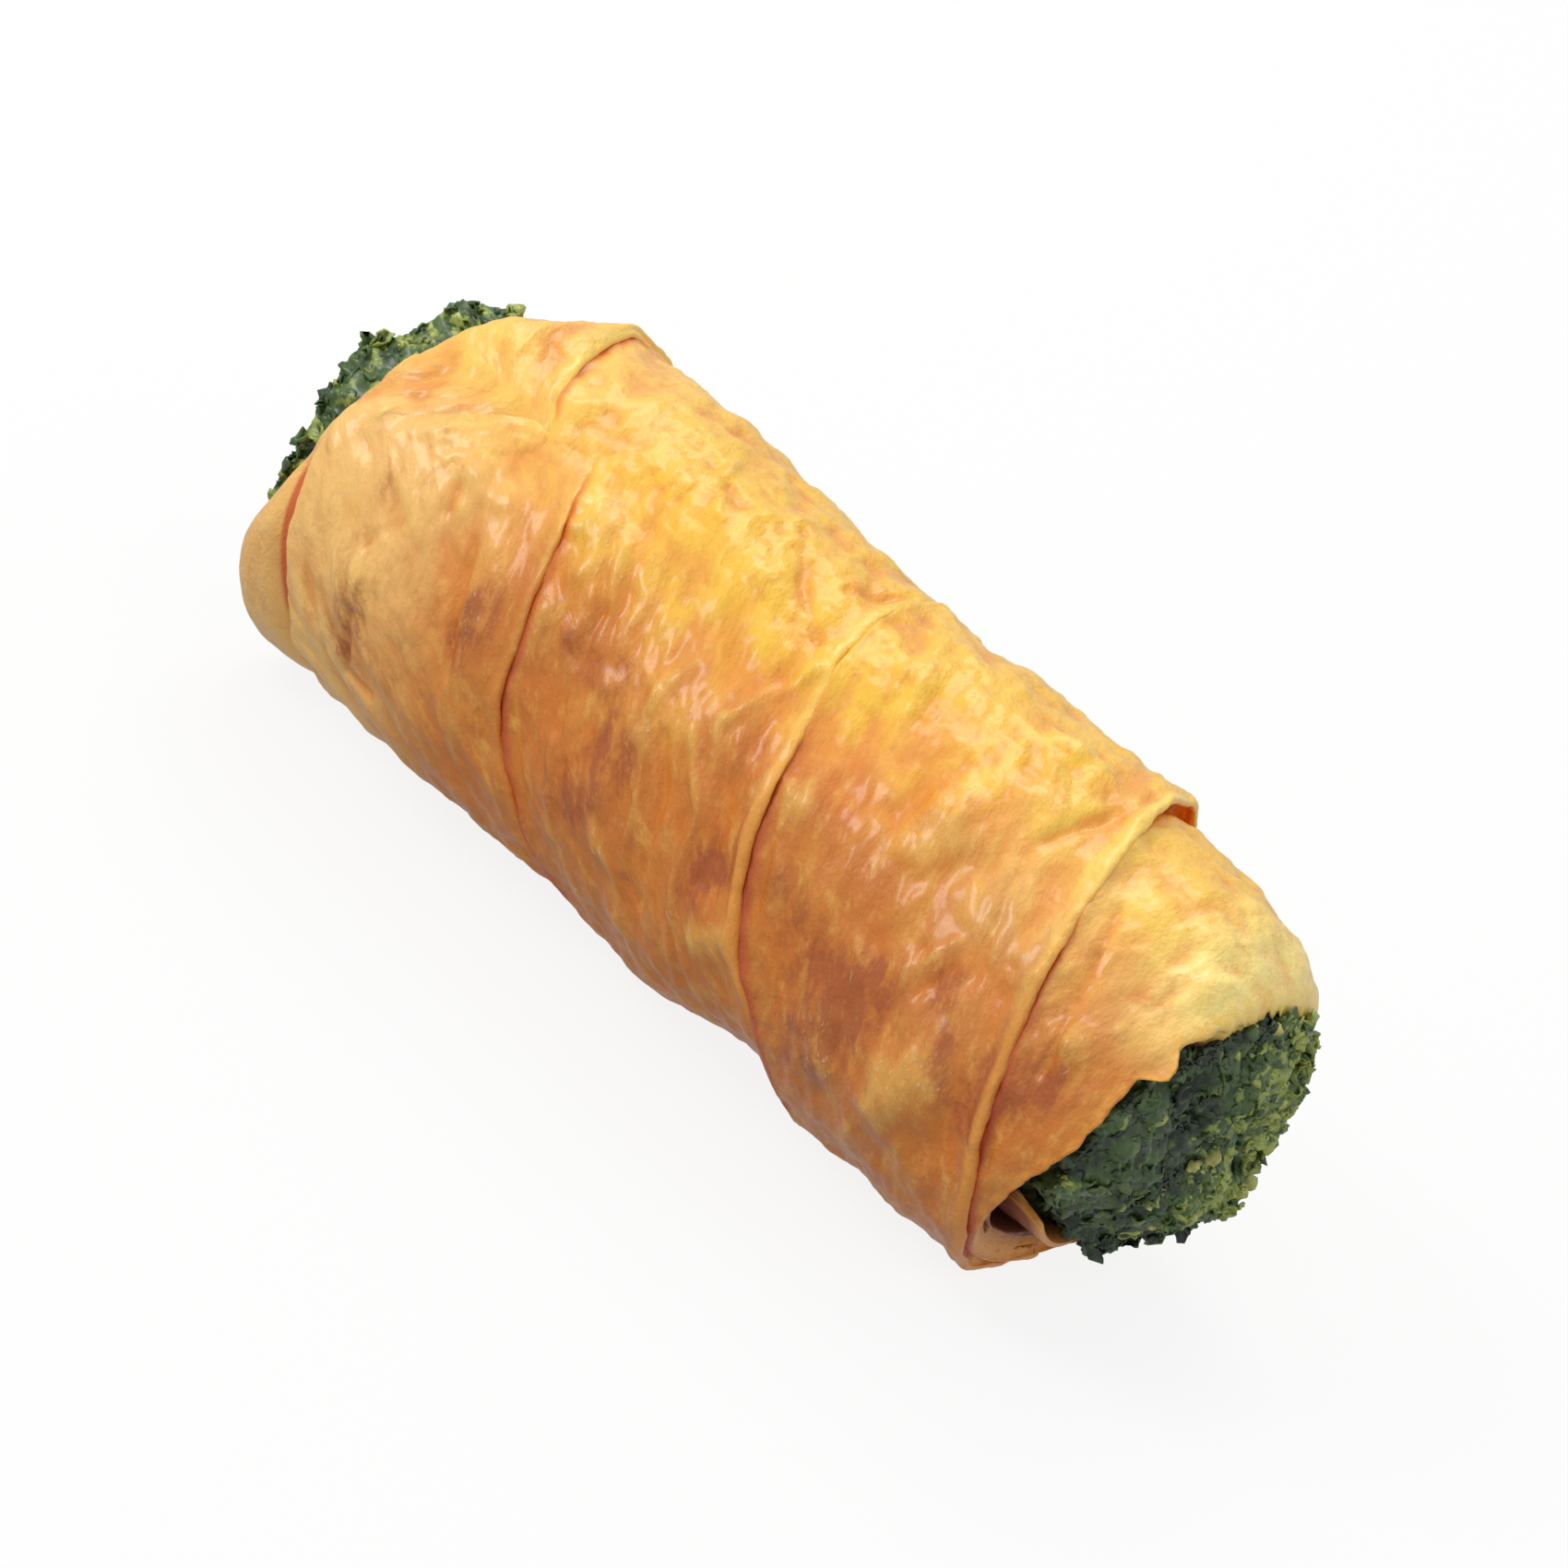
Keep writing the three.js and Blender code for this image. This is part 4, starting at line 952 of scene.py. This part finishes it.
def filling_material():
    n = Nodes("chopped_spinach")
    shade, mottle = n.attribute("shade"), n.mottle()
    colour = n.mix(n.ramp(shade, 0.0, 0.5), (27, 42, 27), (74, 102, 50))
    colour = n.mix(n.ramp(shade, 0.5, 1.0), colour, (172, 184, 88))
    colour = n.mix(n.ramp(mottle, 0.5, 0.7, 0.0, 0.4), colour, (80, 108, 52))
    colour = n.mix(n.ramp(mottle, 0.5, 0.3, 0.0, 0.5), colour, (26, 38, 26))
    constants = {"Roughness": 0.45, "Coat Weight": 0.3, "Coat Roughness": 0.2}
    return n.finish(colour, constants, mottle)


def crumb_material():
    n = Nodes("cheese_crumb")
    colour = n.mix(n.ramp(n.mottle(), 0.35, 0.7), (158, 160, 84), (214, 208, 132))
    constants = {
        "Roughness": 0.5,
        "Subsurface Weight": 0.2,
        "Subsurface Radius": (1.0, 0.8, 0.4),
        "Subsurface Scale": 0.001,
    }
    return n.finish(colour, constants)


# ---------- filling ----------
class Face:
    """One open end of the filling: a lumpy dome, and past share 1 its side wall."""

    def __init__(self, edge, middle, outward, side, lobes):
        self.edge, self.middle, self.outward = edge, middle, outward
        self.last_share = 1 + side / SIDE
        self.lobes = lobes

    def radius(self, angle):
        if self.outward > 0:
            return near_face_radius(angle)
        return hole_radius(self.edge(angle)) - GAP - 0.2

    def place(self, angle, share, lift=0.0):
        """A point at a share of the way to the edge, lifted off the surface by lift."""
        inner, past = np.minimum(share, 1.0), np.maximum(share - 1.0, 0.0)
        over = smooth(0.84, 1.04, share)
        level = mix(self.middle, self.edge(angle), inner**2.5) - self.outward * SIDE * past
        level = level + self.outward * lift * (1 - over)
        radius = inner * self.radius(angle) + 0.9 * lift * over
        return sunk(level, angle, radius, 1.0)

    def lumps(self, flat, share):
        """The uneven surface of the chopped filling, in mm over the flat places."""
        x, y, z = flat[..., 0], flat[..., 1], flat[..., 2]
        u, v = y + 0.7 * x, z - 0.5 * x
        height = 1.2 * layered(u / 4.6, v / 4.6, 61, 2) - 0.9
        height = height + 1.2 * bubbles(u / 3.4, v / 3.4, 62) + 0.55 * bubbles(u / 1.5, v / 1.5, 63)
        for lobe_y, lobe_z, size, rise in self.lobes:
            away = ((y - lobe_y) ** 2 + (z - lobe_z) ** 2) / size**2
            height = height + 1.5 * rise * np.exp(-away * away)
        return height * (1 - 0.9 * smooth(self.last_share - 0.2, self.last_share, share))

    def surface(self, angle, share, lift=0.0):
        share = np.asarray(share, float)
        return self.place(angle, share, self.lumps(self.place(angle, share), share) + lift)


NEAR_FACE = Face(near_face_edge, NEAR_FACE_MIDDLE, 1, NEAR_SIDE, NEAR_LOBES)
FAR_FACE = Face(far_face_edge, FAR_FACE_MIDDLE, -1, FAR_SIDE, [])


def lighter_side(y, z):
    """The near face is lighter towards the back, where more light falls through it."""
    return smooth(-4, 9, y) * smooth(2, 14, z)


def leaf_shade(points, rise):
    """How light the leaf is, 0 to 1: painted shade in the dips, painted light towards the back of the
    near face, and yellow-green scraps.
    """
    x, y, z = points[..., 0], points[..., 1], points[..., 2]
    u, v = y + 0.7 * x, z - 0.5 * x
    lighter = np.where(x > 0, lighter_side(y, z), 0.9)
    mottle = layered(u / 2.2, v / 2.2, 64, 3)
    light = smooth(0.24, 0.55, layered(u / 1.5, v / 1.5, 67, 2) + 0.3 * lighter)
    return np.clip(0.24 + 0.45 * mottle + 0.3 * lighter + 0.6 * light + 0.2 * rise, 0, 1)


def filling_core(material):
    """The plug under the leaves, with crumbly domed ends."""
    stations = 420
    angles = np.linspace(0, TURN, stations, endpoint=False)[:, None]

    def cap(face):
        side = np.arange(1.02, face.last_share, 0.032)
        shares = np.concatenate([[0.012], np.linspace(0.03, 1.0, 66), side, [face.last_share]])
        flat = face.place(angles, shares[None, :])
        return face.surface(angles, shares[None, :]), face.lumps(flat, shares[None, :])

    (far, far_rise), (near, near_rise) = cap(FAR_FACE), cap(NEAR_FACE)
    near, near_rise = near[:, ::-1], near_rise[:, ::-1]
    body_x = mix(far[:, -1:, 0] + 1.0, near[:, :1, 0] - 1.0, np.linspace(0, 1, 12)[None, :])
    body = sunk(body_x, angles, hole_radius(body_x) - GAP - 0.15, 1.0)
    points = on_the_floor(np.concatenate([far, body, near], 1))
    count = points.shape[1]
    faces = [f for f in sweep_faces(stations, count, True) if f[0] % count != count - 1]
    ends = [[s * count + k for s in range(stations)] for k in (0, count - 1)]
    faces += [ends[0][::-1], ends[1]]
    shade = 0.85 * leaf_shade(points, np.concatenate([far_rise, 0 * body_x - 1, near_rise], 1))
    return add_mesh(
        "filling_core", points.reshape(-1, 3), faces, material, {"shade": shade.ravel()}
    )


def scrap_grid(side):
    """A flat square from -1 to 1 with side points along each edge, and its faces."""
    grid = np.linspace(-1, 1, side)
    u, v = (g.ravel() for g in np.meshgrid(grid, grid, indexing="ij"))
    corner = np.arange(side * side).reshape(side, side)
    quads = np.stack([corner[:-1, :-1], corner[1:, :-1], corner[1:, 1:], corner[:-1, 1:]], -1)
    return u, v, quads.reshape(-1, 4).tolist()


def shifted(faces, start):
    return [[start + k for k in face] for face in faces]


GOLDEN_ANGLE = 137.508  # from one scrap to the next


def scrap_places(face, on_face, on_side, rng):
    """(angle, share, half size) of the scraps: evenly over the face, then its side."""
    places = []
    for i in range(on_face + on_side):
        large = rng.random() < 0.3
        half = 0.5 * (rng.uniform(1.8, 3.2) if large else rng.uniform(0.9, 1.9))
        share = max(math.sqrt((i + 0.5) / on_face), 0.05)
        half = min(half, 0.7 + share)
        if i >= on_face:
            share = mix(1.0, face.last_share - 0.05, rng.random())
        places.append((i * GOLDEN_ANGLE + rng.uniform(-6, 6), share, half))
    return places


# larger leaves that stick out of the near face: (angle, share, half size in mm)
NEAR_LEAVES = [
    (46, 0.98, 1.6), (264, 1.02, 2), (324, 0.98, 1.3), (10, 1, 1.2), (152, 0.95, 1.8),
    (186, 0.96, 1.7), (228, 0.98, 1.5), (80, 0.98, 1.5),
]


def leaf_scraps(name, face, places, side, material, rng):
    """Crumpled scraps of leaf all over one end of the filling, as one mesh."""
    u, v, quads = scrap_grid(side)
    angle, share, halves = (np.array(column) for column in zip(*places))
    centres = face.surface(angle, share, rng.uniform(-0.3, 0.25, len(angle)))
    rises = face.lumps(face.place(angle, share), share)
    ahead = face.surface(angle + 3.0, share) - face.surface(angle - 3.0, share)
    outward = face.surface(angle, share + 0.03) - face.surface(angle, share - 0.03)
    slopes = np.cross(ahead, outward)
    middle = np.array([0.5 * (face.middle + float(face.edge(0.0))) - 6 * face.outward, 0, AXIS_HEIGHT])
    slopes *= np.sign(np.sum(slopes * (centres - middle), -1))[:, None]
    slopes /= np.linalg.norm(slopes, axis=-1)[:, None] + 1e-9
    shade = leaf_shade(centres, rises) + rng.normal(0, 0.12, len(angle))
    points, faces = [], []
    for i, (centre, slope, half) in enumerate(zip(centres, slopes, halves)):
        phase, bend = rng.uniform(0, 6.3, 4), rng.uniform(-0.8, 0.15, 2)
        outline = 1 - 0.42 * (u**2 * v**2) + 0.2 * np.sin(3 * u + phase[0]) * np.sin(3 * v + phase[1])
        crumple = 0.3 * np.sin(2.8 * u + phase[2]) * np.cos(3.1 * v + phase[3])
        sheet = np.stack([
            u * outline,
            v * outline * rng.uniform(0.45, 0.95),
            crumple + bend[0] * u * u + bend[1] * v * v,
        ], -1) * half
        tilt = Matrix.Rotation(rng.normal(0, 0.4), 3, "X") @ Matrix.Rotation(rng.uniform(0, 6.3), 3, "Z")
        base = Vector(slope).to_track_quat("Z", "Y").to_matrix()
        points.append(sheet @ np.array(base @ tilt).T + centre)
        faces += shifted(quads, i * side * side)
    piece = add_mesh(
        name, on_the_floor(np.concatenate(points)), faces, material,
        {"shade": np.repeat(np.clip(shade, 0, 1), side * side)},
    )
    thick = piece.modifiers.new("thickness", "SOLIDIFY")
    thick.thickness = 0.22 * MM
    return piece


# cheese crumbs on the near face: (angle, share, size in mm)
CRUMBS = [
    (346, 0.12, 1.3), (297, 0.15, 1.2), (310, 0.22, 0.8), (333, 1, 1.7), (340, 1.02, 1.9),
    (337, 0.94, 1.3), (329, 0.9, 1.2), (302, 0.62, 1.3), (322, 1.02, 1.1), (350, 0.55, 0.7),
    (20, 0.7, 0.8), (60, 0.9, 0.9), (88, 0.95, 1.1), (96, 0.9, 0.8), (5, 0.9, 0.8), (280, 0.7, 0.7),
    (250, 0.5, 0.6), (40, 0.5, 0.6), (354, 0.8, 0.8),
]


def cheese_crumbs(material, rng):
    """Lumpy crumbs of pale cheese pressed into the near face."""
    rings, spokes = 9, 14
    tall = np.linspace(0.05, math.pi - 0.05, rings)[:, None]
    turn = np.linspace(0, 2 * math.pi, spokes, endpoint=False)[None, :]
    ball = np.broadcast_arrays(np.sin(tall) * np.cos(turn), np.sin(tall) * np.sin(turn), np.cos(tall))
    ball = np.stack(ball, -1)
    points, faces = [], []
    for i, (angle, share, size) in enumerate(CRUMBS):
        centre = NEAR_FACE.surface(angle, share, 0.1 * size)
        shift = rng.uniform(0, 40, 2)
        tilted = ball[..., 1] * 1.4 + ball[..., 2] + shift[1]
        lumpy = 1 + 0.5 * layered(ball[..., 0] * 1.4 + shift[0], tilted, 71, 2)
        stretch = rng.uniform(0.7, 1.25, 3)
        points.append((ball * (lumpy * size * 0.6)[..., None] * stretch + centre).reshape(-1, 3))
        faces += shifted(sweep_faces(rings, spokes, False), i * rings * spokes)
    return add_mesh("cheese_crumbs", np.concatenate(points), faces, material, None)


def build():
    dough, spinach, cheese = dough_material(), filling_material(), crumb_material()
    cuts = [STRIP_START, 270.0, 630.0, STRIP_STOP]
    pieces = [
        strip_turn(f"dough_strip_{i + 1}", cuts[i], cuts[i + 1], dough) for i in range(3)
    ]
    pieces += [collar_ring(dough), inner_layers(dough)]
    for piece in pieces:
        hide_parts("pastry")
    rng = np.random.default_rng(SEED + 1)
    near_places = scrap_places(NEAR_FACE, 1400, 370, rng) + NEAR_LEAVES
    far_places = scrap_places(FAR_FACE, 1300, 1400, rng)
    parts = [
        filling_core(spinach),
        leaf_scraps("leaf_scraps_near", NEAR_FACE, near_places, 5, spinach, rng),
        leaf_scraps("leaf_scraps_far", FAR_FACE, far_places, 4, spinach, rng),
        cheese_crumbs(cheese, rng),
    ]
    for piece in parts:
        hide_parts("filling")


build()

# ---------- floor, lights and camera ----------
PHOTO_SIZE = 1700
FLOOR_GLOW = 0.862  # lifts the floor to the photo's white
SKY_GLOW = (0.38, 0.8)  # from below and from above
FOCAL_PX = 5940.0
CAMERA_DISTANCE = 550.0
TARGET_PX = (846.0, 841.0)
TARGET = np.array([0.0, 0.0, 21.8])
VIEW_RIGHT = Vector((0.68737, 0.59438, 0.41742))
VIEW_UP = Vector((-0.60174, 0.14419, 0.78557))
VIEW_BACK = Vector((0.40674, -0.79115, 0.45677))


def make_camera():
    data = bpy.data.cameras.new("camera")
    data.sensor_width = 36.0
    data.lens = data.sensor_width * FOCAL_PX / PHOTO_SIZE
    data.shift_x = (PHOTO_SIZE / 2 - TARGET_PX[0]) / PHOTO_SIZE
    data.shift_y = (TARGET_PX[1] - PHOTO_SIZE / 2) / PHOTO_SIZE
    data.clip_start, data.clip_end = 0.01, 10.0
    camera = add_object("camera", data)
    place = Vector(to_part(TARGET)) + VIEW_BACK * CAMERA_DISTANCE * MM
    turn = Matrix((VIEW_RIGHT, VIEW_UP, VIEW_BACK)).transposed().to_4x4()
    camera.matrix_world = Matrix.Translation(place) @ turn
    bpy.context.scene.camera = camera


def make_floor():
    half = 4.0
    mesh = bpy.data.meshes.new("floor")
    corners = [(-half, -half, 0), (half, -half, 0), (half, half, 0), (-half, half, 0)]
    mesh.from_pydata(corners, [], [[0, 1, 2, 3]])
    stage = {"Roughness": 0.9, "Specular IOR Level": 0.1, "Emission Strength": FLOOR_GLOW}
    n = Nodes("floor")
    n.put(n.shader, ("Emission Color", srgb(255, 255, 255)))
    mesh.materials.append(n.finish(srgb(90, 90, 90), stage))
    floor = add_object("floor", mesh)
    floor.visible_diffuse = False
    floor.visible_glossy = False


def area_light(name, place, size, power, colour=(1, 1, 1)):
    data = bpy.data.lights.new(name, "AREA")
    data.shape = "RECTANGLE"
    data.size, data.size_y = size
    data.energy = power
    data.color = colour
    lamp = add_object(name, data)
    lamp.location = place
    aim = Vector((0, 0, 0.02)) - Vector(place)
    lamp.rotation_euler = aim.to_track_quat("-Z", "Y").to_euler()


def make_lights():
    world = bpy.data.worlds.new("studio")
    bpy.context.scene.world = world
    world.use_nodes = True
    nodes, links = world.node_tree.nodes, world.node_tree.links
    place, split, fade = (nodes.new("ShaderNode" + k) for k in ("TexCoord", "SeparateXYZ", "MapRange"))
    for key, value in zip(("From Min", "From Max", "To Min", "To Max"), (-1.0, 1.0, *SKY_GLOW)):
        fade.inputs[key].default_value = value
    links.new(place.outputs["Generated"], split.inputs[0])
    links.new(split.outputs["Z"], fade.inputs["Value"])
    links.new(fade.outputs["Result"], nodes["Background"].inputs["Strength"])
    nodes["Background"].inputs["Color"].default_value = (1, 1, 1, 1)
    area_light("key", (-0.38, 0.43, 0.74), (0.45, 0.45), 2.58, (1.0, 0.98, 0.94))
    area_light("side", (-0.44, -0.54, 0.62), (0.34, 0.34), 3.3)


make_camera()
make_floor()
make_lights()
bpy.context.scene.view_settings.view_transform = "Standard"
